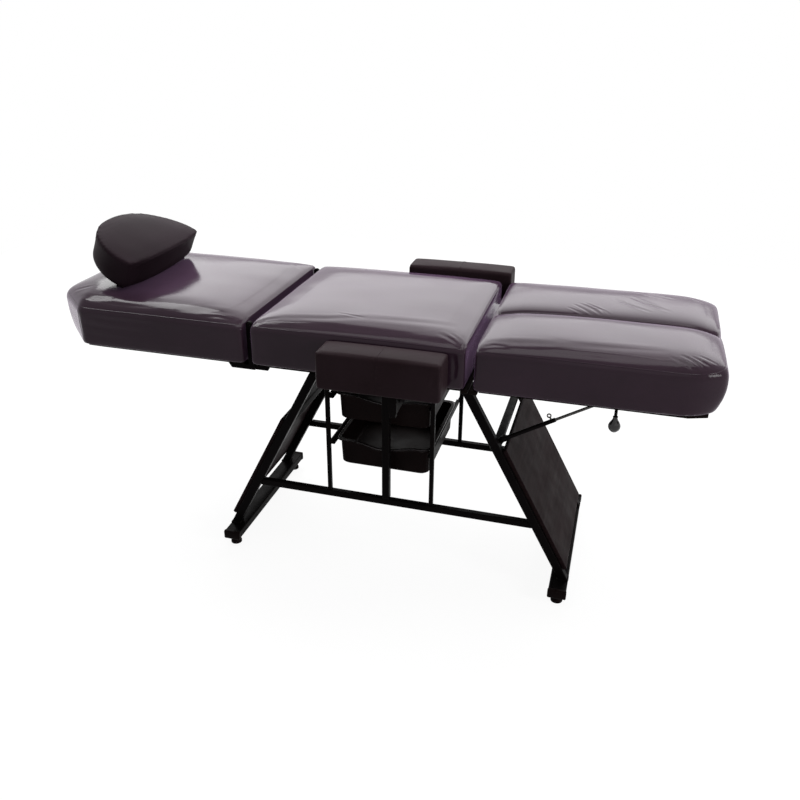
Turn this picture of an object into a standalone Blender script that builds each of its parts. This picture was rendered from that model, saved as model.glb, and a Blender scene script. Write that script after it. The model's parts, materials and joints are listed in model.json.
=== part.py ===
"""Three-section massage table with armrests, a head pillow and two tool trays.

Metres, +Z up. X runs from the head end (-) to the foot end (+), and Y from the near side (-) to the far
side (+). The origin is on the floor, under the middle of the table.
"""
import math

import bmesh
import bpy
from mathutils import Matrix, Vector

# Clearances
GAP = 0.0003            # between pieces that touch
PIN_CLEARANCE = 0.0004  # round a pin in its hole
SIDE_CLEARANCE = 0.0015

# Upholstered sections
SECTION_WIDTH = 0.58
BACK_LENGTH = 0.642
SEAT_LENGTH = 0.596
LEG_REST_LENGTH = 0.602
SECTION_SPACE = 0.022
CUSHION_BASE = 0.645
CUSHION_THICKNESS = 0.119
CROWN = 0.014
SIDE_DRAW = 0.005       # how far the sides pull in between the corners
EDGE_ROUND = 0.034      # stretch of cushion that the rolled edge takes
BACK_CORNER_LENGTH = 0.130
BACK_CORNER_WIDTH = 0.122
BACK_CORNER_ROUND = 0.022   # either way from the start of the cut corner
LEG_REST_CORNER = 0.080
LEG_REST_CORNER_WIDTH = 0.040
END_BOW = 0.009         # of the leg rest's free end, above its drawn-in sides
END_UNDERCUT = 0.014    # of a free end's lower edge
CHANNEL_DEPTH = 0.022
CHANNEL_WIDTH = 0.030
BOARD_THICKNESS = 0.012
BOARD_INSET = 0.028
BOARD_HINGE_INSET = 0.012   # at the ends that are hinged together

# Welded base
LEG_TUBE = 0.025
LEG_SPREAD = 1.028      # between the feet of the legs
LEG_SPLAY = {-1: math.radians(27.46), 1: math.radians(28.77)}   # head end, foot end
BASE_SHIFT = 0.0818     # of the base's middle from the seat's, towards the foot end
SIDE_Y = 0.202          # side frames, from the middle
TOP_RAIL = 0.025
TOP_RAIL_HEAD_REACH = 0.010
FLOOR_BAR_WIDTH = 0.050
FLOOR_BAR_HEIGHT = 0.025
FLOOR_BAR_LENGTH = 0.536
FLOOR_BAR_CLEAR = 0.027  # under the bar
FLOOR_BAR_SETBACK = 0.011   # of its middle from the legs' feet, inwards
SIDE_RAIL = 0.020
SIDE_RAIL_Z = 0.218
CROSS_BAR = 0.022
CROSS_BAR_Z = 0.447
CENTRE_POST = 0.022
CENTRE_POST_SHIFT = -0.0168  # from the base's middle
PANEL_THICKNESS = 0.012
PANEL_WIDTH = 0.420
PANEL_TOP = 0.434
PANEL_BOTTOM = 0.078
TUBE_ROUND = 0.003

# Levelling glides
GLIDE_Y = 0.239
GLIDE_RADIUS = 0.017
GLIDE_FOOT_HEIGHT = 0.012
GLIDE_COLLAR_RADIUS = 0.010
GLIDE_STEM_RADIUS = 0.005
GLIDE_STEM_LENGTH = 0.020

# Tool trays
TRAY_POST = 0.012
TRAY_SHIFT = -0.0368     # of the trays' middle from the base's
TRAY_WIDTH = 0.295
TRAY_DROP = 0.0734       # of the upper rim below the top rails
TRAY_SPACING = 0.149     # from rim to rim
TRAY_DEPTH = 0.084
TRAY_LENGTH = 0.352
TRAY_WALL = 0.0025
TRAY_FLANGE = 0.011
TRAY_DRAFT = 0.003
TRAY_BASE_ROUND = 0.004
TRAY_CORNER = 0.022
TRAY_SCOOP = 0.017
TRAY_SCOOP_WIDTH = 0.200
RUNNER_THICKNESS = 0.003
RUNNER_HEIGHT = 0.015

# Backrest hinge
BACK_PIVOT_DROP = 0.012  # below the cushions' top edge, so that their edges roll clear
HINGE_ARM_WIDTH = 0.018
HINGE_PLATE = 0.004
HINGE_PLATE_Y = 0.2555
HINGE_PIN_RADIUS = 0.004
HINGE_FOOT_HEIGHT = 0.014
SEAT_HINGE_FOOT = 0.046
BACK_HINGE_FOOT = 0.062
HINGE_FLANGE_WIDTH = 0.040
HINGE_FLANGE_THICKNESS = 0.003

# Leg-rest hinge and rails
LEG_HINGE_LENGTH = 0.290
LEG_HINGE_KNUCKLES = 5
LEG_HINGE_LEAF = 0.040
LEG_HINGE_LEAF_THICKNESS = 0.002
LEG_HINGE_KNUCKLE_RADIUS = 0.0070
LEG_HINGE_PIN_RADIUS = 0.0030
LEG_RAIL = 0.020
LEG_RAIL_LENGTH = 0.500
LEG_RAIL_START = 0.028   # from the hinge's axis

# Leg-rest strut, its clamp and the release lever
STRUT_FOOT_REACH = 0.0175  # of the lower pivot from the cross bar
STRUT_FOOT_RISE = 0.021
STRUT_HEAD_REACH = 0.337   # of the upper pivot from the leg rest's hinge
STRUT_HEAD_DROP = 0.018    # below the boards
STRUT_Y = -0.185
STRUT_TUBE_RADIUS = 0.0060
STRUT_ROD_RADIUS = 0.0040
STRUT_TUBE_START = 0.012
STRUT_TUBE_FLOOR = 0.004    # solid end of the tube, past its start
STRUT_TUBE_END = 0.153
STRUT_ENGAGEMENT = 0.0152
STRUT_EYE_RADIUS = 0.009
STRUT_EYE_NECK = 0.003      # from the eye's round to the bar
STRUT_TAB = 0.004
STRUT_WASHER = 0.0025   # between an eye and its lug
STRUT_WASHER_RADIUS = 0.0065
CLAMP_SETBACK = 0.010
CLAMP_RADIUS = 0.0025
CLAMP_LENGTH = 0.004
CLAMP_RING = 0.0065
CLAMP_RING_HOLE = 0.0034
CLAMP_RING_THICKNESS = 0.003
LEVER_SETBACK = 0.033      # of its shaft from the strut's upper pivot
LEVER_SHAFT_DROP = 0.012   # below the boards
LEVER_RADIUS = 0.004
LEVER_Y = -0.245
LEVER_DROP = 0.014
LEVER_BEND = 0.012
KNOB_LENGTH = 0.046
KNOB_RADIUS = 0.0155

# Armrests
ARM_LENGTH = 0.330
ARM_WIDTH = 0.092
ARM_HEIGHT = 0.105
ARM_DROP = 0.016        # of the pad's top below the cushions' top edge, at its lowest
ARM_RAISED = 0.039      # of the far pad, as set in the picture
ARM_SPACE = 0.003       # from the seat cushion's side
ARM_EDGE = 0.014
ARM_SHIFT = 0.032       # of the pad along its post
ARM_BAR = 0.020
ARM_BAR_REACH = 0.125   # from the seat's middle
ARM_BAR_INSERT = 0.110
ARM_SLEEVE = 0.022
ARM_SLEEVE_TOP = 0.0055  # below the post's plate at its lowest
ARM_POST = 0.016
ARM_POST_TAIL = 0.013   # below the sleeve at its lowest
ARM_PLATE = (0.120, 0.060, 0.004)
RECEIVER = 0.026

# Head pillow
PILLOW_TILT = math.radians(22.5)
PILLOW_WIDTH = 0.430
PILLOW_HEAD_WIDTH = 0.250
PILLOW_DEPTH = 0.209
PILLOW_THICKNESS = 0.088
PILLOW_CORNER = 0.012       # by which its corners are blunted
PILLOW_UNDERSIDE = 0.008    # by which its lower edge is drawn in
PILLOW_AXIS_REACH = 0.191  # from the backrest's head edge
PILLOW_AXIS_RISE = 0.010   # above the cushion
PILLOW_OVERHANG = 0.054    # of the foot-side edge past the axis
PILLOW_LIFT = 0.010        # from the axis to the board
PILLOW_BOARD = 0.008
PILLOW_BOARD_INSET = 0.034
PILLOW_POST_Y = 0.165
PILLOW_FLANGE_RADIUS = 0.015
PILLOW_FLANGE_HEIGHT = 0.003
PILLOW_EAR = 0.004
PILLOW_EAR_RADIUS = 0.008

# Worked-out places
TABLE_LENGTH = BACK_LENGTH + SEAT_LENGTH + LEG_REST_LENGTH + 2 * SECTION_SPACE
HEAD_END = -(TABLE_LENGTH + 0.74 * END_BOW) / 2     # the bowed foot end reaches that much further
BACK_X = (HEAD_END, HEAD_END + BACK_LENGTH)
SEAT_X = (BACK_X[1] + SECTION_SPACE, BACK_X[1] + SECTION_SPACE + SEAT_LENGTH)
LEG_REST_X = (SEAT_X[1] + SECTION_SPACE, HEAD_END + TABLE_LENGTH)
SEAT_MIDDLE = sum(SEAT_X) / 2
HALF_WIDTH = SECTION_WIDTH / 2
CUSHION_TOP = CUSHION_BASE + CUSHION_THICKNESS
BOARD_TOP = CUSHION_BASE - GAP
BOARD_BOTTOM = BOARD_TOP - BOARD_THICKNESS
DECK = BOARD_BOTTOM - GAP           # what carries the boards reaches up to here
TOP_RAIL_BOTTOM = DECK - TOP_RAIL
BASE_X = SEAT_MIDDLE + BASE_SHIFT
BAR_TOP = FLOOR_BAR_CLEAR + FLOOR_BAR_HEIGHT
CENTRE_POST_X = BASE_X + CENTRE_POST_SHIFT
TRAY_X = BASE_X + TRAY_SHIFT
TRAY_HALF = TRAY_WIDTH / 2
TRAY_POST_REACH = TRAY_HALF + SIDE_CLEARANCE + TRAY_POST / 2
TRAY_RIM_Z = {"upper": TOP_RAIL_BOTTOM - TRAY_DROP, "lower": TOP_RAIL_BOTTOM - TRAY_DROP - TRAY_SPACING}
RUNNER_LEDGE = SIDE_CLEARANCE + TRAY_FLANGE - TRAY_WALL - SIDE_CLEARANCE / 2
BACK_PIVOT_X = (BACK_X[1] + SEAT_X[0]) / 2
BACK_PIVOT_Z = CUSHION_TOP - BACK_PIVOT_DROP
LEG_PIVOT_X = (SEAT_X[1] + LEG_REST_X[0]) / 2
LEG_PIVOT_Z = DECK - LEG_HINGE_LEAF_THICKNESS + LEG_HINGE_KNUCKLE_RADIUS
LUG_Y = STRUT_Y + STRUT_TAB + STRUT_WASHER + GAP   # middle of the lugs beside the strut's eyes
LEG_RAIL_Y = -(LUG_Y + STRUT_TAB / 2 + GAP + LEG_RAIL / 2)
STRUT_HEAD_X = LEG_PIVOT_X + STRUT_HEAD_REACH
STRUT_HEAD_Z = DECK - STRUT_HEAD_DROP
LEVER_X = STRUT_HEAD_X + LEVER_SETBACK
LEVER_Z = DECK - LEVER_SHAFT_DROP
ARM_BAR_X = SEAT_MIDDLE + ARM_BAR_REACH
ARM_BAR_Z = TOP_RAIL_BOTTOM - GAP - RECEIVER / 2
ARM_Y = HALF_WIDTH + ARM_SPACE + ARM_WIDTH / 2
ARM_BASE = CUSHION_TOP - ARM_DROP - ARM_HEIGHT - GAP - ARM_PLATE[2]   # under the plate, at its lowest
RECEIVER_END = SIDE_Y + TOP_RAIL / 2
PILLOW_AXIS_X = BACK_X[0] + PILLOW_AXIS_REACH
SIDES = {"near": -1, "far": 1}
ENDS = {"head": -1, "foot": 1}


def clear_scene():
    for obj in list(bpy.data.objects):
        bpy.data.objects.remove(obj, do_unlink=True)


def collection(name):
    made = bpy.data.collections.new(name)
    bpy.context.scene.collection.children.link(made)
    return made


def finish(name, color, roughness, metallic=0.0):
    material = bpy.data.materials.new(name)
    material.use_nodes = True
    shader = material.node_tree.nodes["Principled BSDF"]
    shader.inputs["Base Color"].default_value = (*color, 1.0)
    shader.inputs["Roughness"].default_value = roughness
    shader.inputs["Metallic"].default_value = metallic
    return material


def add(name, mesh, material, closed=True):
    """Makes an object of a bmesh, shaded smooth except over its edges, and frees the bmesh."""
    if closed:
        bmesh.ops.recalc_face_normals(mesh, faces=mesh.faces)
    data = bpy.data.meshes.new(name)
    mesh.to_mesh(data)
    mesh.free()
    data.shade_smooth()
    data.set_sharp_from_angle(angle=math.radians(35))
    if material:
        data.materials.append(material.copy())
        data.materials[0].name = name
    obj = bpy.data.objects.new(name, data)
    parts.objects.link(obj)
    return obj


def as_cutter(obj):
    parts.objects.unlink(obj)
    cutters.objects.link(obj)
    obj.hide_render = True
    obj.display_type = "WIRE"
    return obj


def combine(obj, tool, operation="UNION"):
    """Joins a tool to an object, or cuts it out."""
    as_cutter(tool)
    boolean = obj.modifiers.new(operation.lower(), "BOOLEAN")
    boolean.object = tool
    boolean.operation = operation
    boolean.solver = "EXACT"
    return obj


def round_edges(obj, width, segments=1):
    bevel = obj.modifiers.new("edges", "BEVEL")
    bevel.width = width
    bevel.segments = segments
    bevel.limit_method = "ANGLE"
    return obj


def box(name, low, high, material, edge=0.0, segments=1):
    low = Vector(low)
    high = Vector(high)
    mesh = bmesh.new()
    bmesh.ops.create_cube(mesh, size=1.0, matrix=Matrix.Diagonal((*(high - low), 1.0)))
    obj = add(name, mesh, material)
    obj.location = (low + high) / 2
    if edge:
        round_edges(obj, edge, segments)
    return obj


def cylinder(name, start, end, radius, material, steps=20):
    """Round bar from one point to another."""
    start = Vector(start)
    end = Vector(end)
    mesh = bmesh.new()
    bmesh.ops.create_cone(mesh, cap_ends=True, segments=steps, radius1=radius, radius2=radius,
                          depth=(end - start).length)
    obj = add(name, mesh, material)
    obj.rotation_euler = (end - start).to_track_quat("Z", "Y").to_euler()
    obj.location = (start + end) / 2
    return obj


def turned(name, profile, material, steps=24):
    """Turns a profile of (radius, height) points, listed from top to bottom, round Z."""
    mesh = bmesh.new()
    points = [mesh.verts.new((radius, 0, height)) for radius, height in profile]
    for first, second in zip(points, points[1:]):
        mesh.edges.new((first, second))
    data = bpy.data.meshes.new(name)
    mesh.to_mesh(data)
    mesh.free()
    data.materials.append(material.copy())
    data.materials[0].name = name
    obj = bpy.data.objects.new(name, data)
    parts.objects.link(obj)
    screw = obj.modifiers.new("turn", "SCREW")
    screw.steps = steps
    screw.render_steps = steps
    screw.use_merge_vertices = True
    screw.merge_threshold = 0.00001
    screw.use_smooth_shade = True
    return obj


def arc(centre, radius, start, end, steps):
    """Points on an arc in the XZ plane, its angles in degrees."""
    angles = [math.radians(start + (end - start) * i / steps) for i in range(steps + 1)]
    return [(centre[0] + radius * math.cos(a), centre[1] + radius * math.sin(a)) for a in angles]


def ring(centre, radius, steps=16):
    return arc(centre, radius, 0, 360 - 360 / steps, steps - 1)


def curve_outline(name, outlines, thickness):
    """Filled 2D curve of closed outlines, extruded both ways, as a welded mesh."""
    curve = bpy.data.curves.new(name, "CURVE")
    curve.dimensions = "2D"
    curve.fill_mode = "BOTH"
    curve.extrude = thickness / 2
    for outline in outlines:
        spline = curve.splines.new("POLY")
        spline.points.add(len(outline) - 1)
        for point, (x, y) in zip(spline.points, outline):
            point.co = (x, y, 0, 1)
        spline.use_cyclic_u = True
    return from_curve(name, curve)


def from_curve(name, curve):
    guide = bpy.data.objects.new(name + "_guide", curve)
    parts.objects.link(guide)
    graph = bpy.context.evaluated_depsgraph_get()
    data = bpy.data.meshes.new_from_object(guide.evaluated_get(graph))
    bpy.data.objects.remove(guide)
    mesh = bmesh.new()
    mesh.from_mesh(data)
    bpy.data.meshes.remove(data)
    bmesh.ops.remove_doubles(mesh, verts=mesh.verts, dist=0.00001)
    return mesh


def plate(name, outlines, thickness, y, material):
    """Flat plate that stands in the XZ plane; the first outline is its edge, the others are holes."""
    obj = add(name, curve_outline(name, outlines, thickness), material)
    obj.rotation_euler = (math.pi / 2, 0, 0)
    obj.location = (0, y, 0)
    return obj


def board(name, outline, low, thickness, material):
    """Flat board that lies level, from its outline seen from above."""
    obj = add(name, curve_outline(name, [outline], thickness), material)
    obj.location = (0, 0, low + thickness / 2)
    return obj


def wire(name, points, radius, material, resolution=3):
    """Bent rod along a smooth run of points."""
    curve = bpy.data.curves.new(name, "CURVE")
    curve.dimensions = "3D"
    curve.bevel_depth = radius
    curve.bevel_resolution = resolution
    curve.use_fill_caps = True
    curve.resolution_u = 1
    spline = curve.splines.new("POLY")
    spline.points.add(len(points) - 1)
    for point, place in zip(spline.points, points):
        point.co = (*place, 1)
    return add(name, from_curve(name, curve), material)


def pivot(name, place):
    """Empty on a joint's axis, which carries the pieces that move with it."""
    empty = bpy.data.objects.new(name, None)
    empty.location = place
    parts.objects.link(empty)
    return empty


def carry(empty, pieces):
    bpy.context.view_layer.update()
    for piece in pieces:
        piece.parent = empty
        piece.matrix_parent_inverse = empty.matrix_world.inverted()


def leg_x(end, z):
    """Middle of a leg at a height."""
    return BASE_X + end * (LEG_SPREAD / 2 - math.tan(LEG_SPLAY[end]) * (z - BAR_TOP))


def leg_half(end):
    """Half a leg's width, measured level."""
    return LEG_TUBE / 2 / math.cos(LEG_SPLAY[end])


def bar_x(end):
    """Middle of a floor bar, a little inside the feet of its legs."""
    return leg_x(end, BAR_TOP) - end * FLOOR_BAR_SETBACK


STRUT_FOOT_X = leg_x(1, CROSS_BAR_Z) + STRUT_FOOT_REACH
STRUT_FOOT_Z = CROSS_BAR_Z + STRUT_FOOT_RISE
STRUT_RISE = math.atan2(STRUT_HEAD_Z - STRUT_FOOT_Z, STRUT_HEAD_X - STRUT_FOOT_X)
STRUT_LENGTH = math.hypot(STRUT_HEAD_X - STRUT_FOOT_X, STRUT_HEAD_Z - STRUT_FOOT_Z)


def leg(name, end, side):
    """Square tube that leans outwards and is cut level at both ends."""
    low = BAR_TOP + GAP
    high = TOP_RAIL_BOTTOM - GAP
    middle = (low + high) / 2
    mesh = bmesh.new()
    size = (2 * leg_half(end), LEG_TUBE, high - low, 1.0)
    bmesh.ops.create_cube(mesh, size=1.0, matrix=Matrix.Diagonal(size))
    for vert in mesh.verts:
        vert.co.x -= end * math.tan(LEG_SPLAY[end]) * vert.co.z
    obj = add(name, mesh, steel)
    obj.location = (leg_x(end, middle), side * SIDE_Y, middle)
    return round_edges(obj, TUBE_ROUND, 2)


def rail_between_legs(name, side):
    """Side rail whose ends are mitred to the leaning legs."""
    mesh = bmesh.new()
    bmesh.ops.create_cube(mesh, size=1.0, matrix=Matrix.Diagonal((1.0, SIDE_RAIL, SIDE_RAIL, 1.0)))
    for vert in mesh.verts:
        end = 1 if vert.co.x > 0 else -1
        vert.co.x = leg_x(end, SIDE_RAIL_Z + vert.co.z) - end * (leg_half(end) + GAP)
    obj = add(name, mesh, steel)
    obj.location = (0, side * SIDE_Y, SIDE_RAIL_Z)
    return round_edges(obj, TUBE_ROUND, 2)


def floor_bar(name, end):
    """Bar across the floor under a pair of legs, with a blind bore for each glide's stem."""
    x = bar_x(end)
    bar = box(name, (x - FLOOR_BAR_WIDTH / 2, -FLOOR_BAR_LENGTH / 2, FLOOR_BAR_CLEAR),
              (x + FLOOR_BAR_WIDTH / 2, FLOOR_BAR_LENGTH / 2, BAR_TOP), steel, TUBE_ROUND, 2)
    for side_name, side in SIDES.items():
        bore_top = FLOOR_BAR_CLEAR + GLIDE_STEM_LENGTH + GAP
        bore = cylinder(f"{name}_bore_{side_name}", (x, side * GLIDE_Y, 0), (x, side * GLIDE_Y, bore_top),
                        GLIDE_STEM_RADIUS + PIN_CLEARANCE, None)
        combine(bar, bore, "DIFFERENCE")
    return bar


def glide(name, end, side):
    """Screw-in levelling foot: a chamfered disc, a collar under the bar and a stem inside it."""
    collar_top = FLOOR_BAR_CLEAR - GAP
    stem_top = collar_top + GLIDE_STEM_LENGTH
    profile = [(0, stem_top), (GLIDE_STEM_RADIUS, stem_top), (GLIDE_STEM_RADIUS, collar_top),
               (GLIDE_COLLAR_RADIUS, collar_top), (GLIDE_COLLAR_RADIUS, GLIDE_FOOT_HEIGHT + 0.006),
               (GLIDE_RADIUS * 0.8, GLIDE_FOOT_HEIGHT), (GLIDE_RADIUS, GLIDE_FOOT_HEIGHT * 0.5),
               (GLIDE_RADIUS, 0), (0, 0)]
    obj = turned(name, profile, plastic, 20)
    obj.location = (bar_x(end), side * GLIDE_Y, 0)
    return obj


def leg_panel(name, end):
    """Covered board on the outer faces of a pair of legs."""
    middle = (PANEL_TOP + PANEL_BOTTOM) / 2
    splay = LEG_SPLAY[end]
    length = (PANEL_TOP - PANEL_BOTTOM) / math.cos(splay)
    mesh = bmesh.new()
    size = (PANEL_THICKNESS, PANEL_WIDTH, length, 1.0)
    bmesh.ops.create_cube(mesh, size=1.0, matrix=Matrix.Diagonal(size))
    obj = add(name, mesh, vinyl_board)
    out = LEG_TUBE / 2 + GAP + PANEL_THICKNESS / 2
    obj.location = (leg_x(end, middle) + end * out * math.cos(splay), 0, middle + out * math.sin(splay))
    obj.rotation_euler = (0, -end * splay, 0)
    return round_edges(obj, PANEL_THICKNESS / 4, 2)


def base_frame():
    for side_name, side in SIDES.items():
        for end_name, end in ENDS.items():
            leg(f"leg_{end_name}_{side_name}", end, side)
        rail_between_legs(f"side_rail_{side_name}", side)
        box(f"top_rail_{side_name}",
            (SEAT_X[0] + TOP_RAIL_HEAD_REACH, side * SIDE_Y - TOP_RAIL / 2, TOP_RAIL_BOTTOM),
            (leg_x(1, TOP_RAIL_BOTTOM) + leg_half(1), side * SIDE_Y + TOP_RAIL / 2, DECK),
            steel, TUBE_ROUND, 2)
    for end_name, end in ENDS.items():
        floor_bar(f"floor_bar_{end_name}", end)
        leg_panel(f"leg_panel_{end_name}", end)
        x = leg_x(end, CROSS_BAR_Z)
        reach = SIDE_Y - LEG_TUBE / 2 - GAP
        bar = box(f"cross_bar_{end_name}", (x - CROSS_BAR / 2, -reach, CROSS_BAR_Z - CROSS_BAR / 2),
                  (x + CROSS_BAR / 2, reach, CROSS_BAR_Z + CROSS_BAR / 2), steel, TUBE_ROUND, 2)
        if end > 0:
            combine(bar, strut_foot_lug(x))
    box("centre_post",
        (CENTRE_POST_X - CENTRE_POST / 2, -SIDE_Y - CENTRE_POST / 2, SIDE_RAIL_Z + SIDE_RAIL / 2 + GAP),
        (CENTRE_POST_X + CENTRE_POST / 2, -SIDE_Y + CENTRE_POST / 2, TOP_RAIL_BOTTOM - GAP),
        steel, TUBE_ROUND, 2)


def strut_foot_lug(bar_x):
    """Lug on the foot-end cross bar that carries the strut's lower pivot."""
    base = bar_x - CROSS_BAR / 4
    low = CROSS_BAR_Z
    foot = (STRUT_FOOT_X, STRUT_FOOT_Z)
    outline = [(base, low), (bar_x + CROSS_BAR / 2, low)]
    outline += arc(foot, STRUT_EYE_RADIUS, -60, 120, 8)
    outline += [(base, CROSS_BAR_Z + CROSS_BAR / 2 - TUBE_ROUND)]
    hole = ring(foot, HINGE_PIN_RADIUS + PIN_CLEARANCE)
    return plate("strut_foot_lug", [outline, hole], STRUT_TAB, LUG_Y, steel)


def tray_hangers():
    """Thin posts between the side rails and the top rails, and the angle runners that carry the trays."""
    for end_name, end in ENDS.items():
        x = TRAY_X + end * TRAY_POST_REACH
        for side_name, side in SIDES.items():
            box(f"tray_post_{end_name}_{side_name}",
                (x - TRAY_POST / 2, side * SIDE_Y - TRAY_POST / 2, SIDE_RAIL_Z + SIDE_RAIL / 2 + GAP),
                (x + TRAY_POST / 2, side * SIDE_Y + TRAY_POST / 2, TOP_RAIL_BOTTOM - GAP),
                steel, TUBE_ROUND / 2)
        for level, rim in TRAY_RIM_Z.items():
            tray_runner(f"tray_runner_{level}_{end_name}", x, -end, rim - TRAY_WALL - GAP)


def tray_runner(name, post_x, inward, ledge_top):
    """Angle iron from the near post to the far post, with its ledge under the tray's flange."""
    face = post_x + inward * (TRAY_POST / 2)
    back = face - inward * RUNNER_THICKNESS
    tip = face + inward * RUNNER_LEDGE
    low = ledge_top - RUNNER_THICKNESS
    outline = [(back, low), (tip, low), (tip, ledge_top), (face, ledge_top),
               (face, low + RUNNER_HEIGHT), (back, low + RUNNER_HEIGHT)]
    length = 2 * (SIDE_Y - TRAY_POST / 2 - GAP)
    return plate(name, [outline], length, 0, steel)


def rounded_rectangle(half_x, half_y, corner, per_side, per_corner):
    """Points round a rectangle with round corners, evenly many on each side and each corner."""
    points = []
    straight_x = half_x - corner
    straight_y = half_y - corner
    for quarter in range(4):
        turn = math.radians(90 * quarter)
        centre = (straight_x, straight_y) if quarter % 2 == 0 else (straight_y, straight_x)
        along = straight_x if quarter % 2 == 0 else straight_y
        for i in range(per_corner + 1):
            angle = math.radians(90) * i / per_corner
            local = (centre[0] + corner * math.cos(angle), centre[1] + corner * math.sin(angle))
            points.append((local[0] * math.cos(turn) - local[1] * math.sin(turn),
                           local[0] * math.sin(turn) + local[1] * math.cos(turn)))
        for i in range(1, per_side):
            local = (along - 2 * along * i / per_side, centre[1] + corner)
            points.append((local[0] * math.cos(turn) - local[1] * math.sin(turn),
                           local[0] * math.sin(turn) + local[1] * math.cos(turn)))
    return points


def tray(name, rim):
    """Moulded basin: drafted walls, round corners, and a flange that dips in a scoop at both ends."""
    per_side = 12
    per_corner = 4
    half_y = TRAY_LENGTH / 2
    wall_x = TRAY_HALF - TRAY_FLANGE
    wall_y = half_y - TRAY_FLANGE
    base = TRAY_WALL - TRAY_DEPTH
    levels = [
        (wall_x - TRAY_DRAFT - TRAY_BASE_ROUND, wall_y - TRAY_DRAFT - TRAY_BASE_ROUND, TRAY_CORNER, base),
        (wall_x - TRAY_DRAFT, wall_y - TRAY_DRAFT, TRAY_CORNER, base + TRAY_BASE_ROUND),
        (wall_x, wall_y, TRAY_CORNER, 0.0),
        (TRAY_HALF, half_y, TRAY_CORNER + TRAY_FLANGE / 2, 0.0),
    ]
    mesh = bmesh.new()
    loops = []
    for half_x, half, corner, height in levels:
        verts = []
        for x, y in rounded_rectangle(half_x, half, corner, per_side, per_corner):
            dip = 0.0
            if height == 0.0 and abs(x) < TRAY_SCOOP_WIDTH / 2 and abs(y) > wall_y - TRAY_CORNER:
                dip = TRAY_SCOOP * (0.5 + 0.5 * math.cos(2 * math.pi * x / TRAY_SCOOP_WIDTH))
            verts.append(mesh.verts.new((x, y, height - dip)))
        loops.append(verts)
    for low, high in zip(loops, loops[1:]):
        for i in range(len(low)):
            j = (i + 1) % len(low)
            mesh.faces.new((low[i], high[i], high[j], low[j]))
    mesh.faces.new(loops[0])
    obj = add(name, mesh, plastic, closed=False)
    obj.location = (TRAY_X, 0, rim - TRAY_WALL)
    shell = obj.modifiers.new("wall", "SOLIDIFY")
    shell.thickness = TRAY_WALL
    shell.offset = 1.0
    shell.use_even_offset = True
    return obj


def cushion(name, x_cuts, y_cuts, z_cuts, shape, material=None):
    """Soft form: a cube cut into a coarse cage, shaped point by point, then subdivided.

    shape takes a point of the cube from -1 to 1 each way and returns its place in metres.
    """
    mesh = bmesh.new()
    bmesh.ops.create_cube(mesh, size=2.0)
    for axis, cuts in enumerate((x_cuts, y_cuts, z_cuts)):
        for cut in cuts:
            place = Vector((0, 0, 0))
            place[axis] = cut
            normal = Vector((0, 0, 0))
            normal[axis] = 1
            everything = mesh.verts[:] + mesh.edges[:] + mesh.faces[:]
            bmesh.ops.bisect_plane(mesh, geom=everything, plane_co=place, plane_no=normal, dist=1e-6)
    for vert in mesh.verts:
        vert.co = shape(*vert.co)
    obj = add(name, mesh, material or vinyl)
    subdivision = obj.modifiers.new("soft", "SUBSURF")
    subdivision.levels = 1
    subdivision.render_levels = 1
    return obj


def near_ends(half, distance):
    """Where a cut lies, from -1 to 1, when it is a distance inside the end of a half-length."""
    return 1 - distance / half


def pad_shape(x_range, half_width, outline=None, channel=0.0, free_end=0):
    """Shape of a section's cushion: crowned top, rolled top edge, sides drawn in between the corners.

    free_end is the sign of the end that hangs free, whose lower edge is cut under.
    """
    middle = sum(x_range) / 2
    half = (x_range[1] - x_range[0]) / 2

    def shape(u, v, w):
        x = middle + half * u
        width = outline(x) if outline else half_width
        draw = SIDE_DRAW * (1 - abs(w)) * (1 - u ** 6)
        y = v * (width - draw * abs(v))
        x -= math.copysign(SIDE_DRAW * (1 - abs(w)) * (1 - v ** 6) * abs(u) ** 4, u)
        z = CUSHION_BASE + CUSHION_THICKNESS * (w + 1) / 2
        if w > 0.99:
            z += CROWN * (1 - u ** 6) * (1 - v ** 6)
            if channel and abs(v) < 1e-3:
                z -= channel
        if channel and u > 0.99:
            x -= channel * 0.7 if abs(v) < 1e-3 else 0
            x += END_BOW * (1 - w * w)
        if free_end * u > 0.5:
            x -= free_end * END_UNDERCUT * (free_end * u * 2 - 1) * max(0.0, -0.1 - w) / 0.9
        if w < -0.99:
            y *= 1 - 0.006 / half_width
        return Vector((x, y, z))

    return shape


def back_half_width(x):
    """The backrest's head corners are cut, so it narrows towards its head end."""
    share = max(0.0, (BACK_X[0] + BACK_CORNER_LENGTH - x) / BACK_CORNER_LENGTH)
    return HALF_WIDTH - BACK_CORNER_WIDTH * share


def leg_rest_half_width(x):
    """The leg rest's foot corners are rounded."""
    share = max(0.0, (x - LEG_REST_X[1] + LEG_REST_CORNER) / LEG_REST_CORNER)
    return HALF_WIDTH - LEG_REST_CORNER_WIDTH * share ** 2


def section_board(name, start, end, half_width):
    """Plywood board under a cushion, inset all round and following its outline."""
    stations = [start + (end - start) * i / 12 for i in range(13)]
    upper = [(x, half_width(x) - BOARD_INSET) for x in stations]
    lower = [(x, -y) for x, y in reversed(upper)]
    return board(name, upper + lower, BOARD_BOTTOM, BOARD_THICKNESS, plywood)


def section_cuts(length):
    """Cuts along a cushion: one near each rolled edge, and three between."""
    edge = near_ends(length / 2, EDGE_ROUND)
    return [-edge, -0.5 * edge, 0.0, 0.5 * edge, edge]


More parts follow.
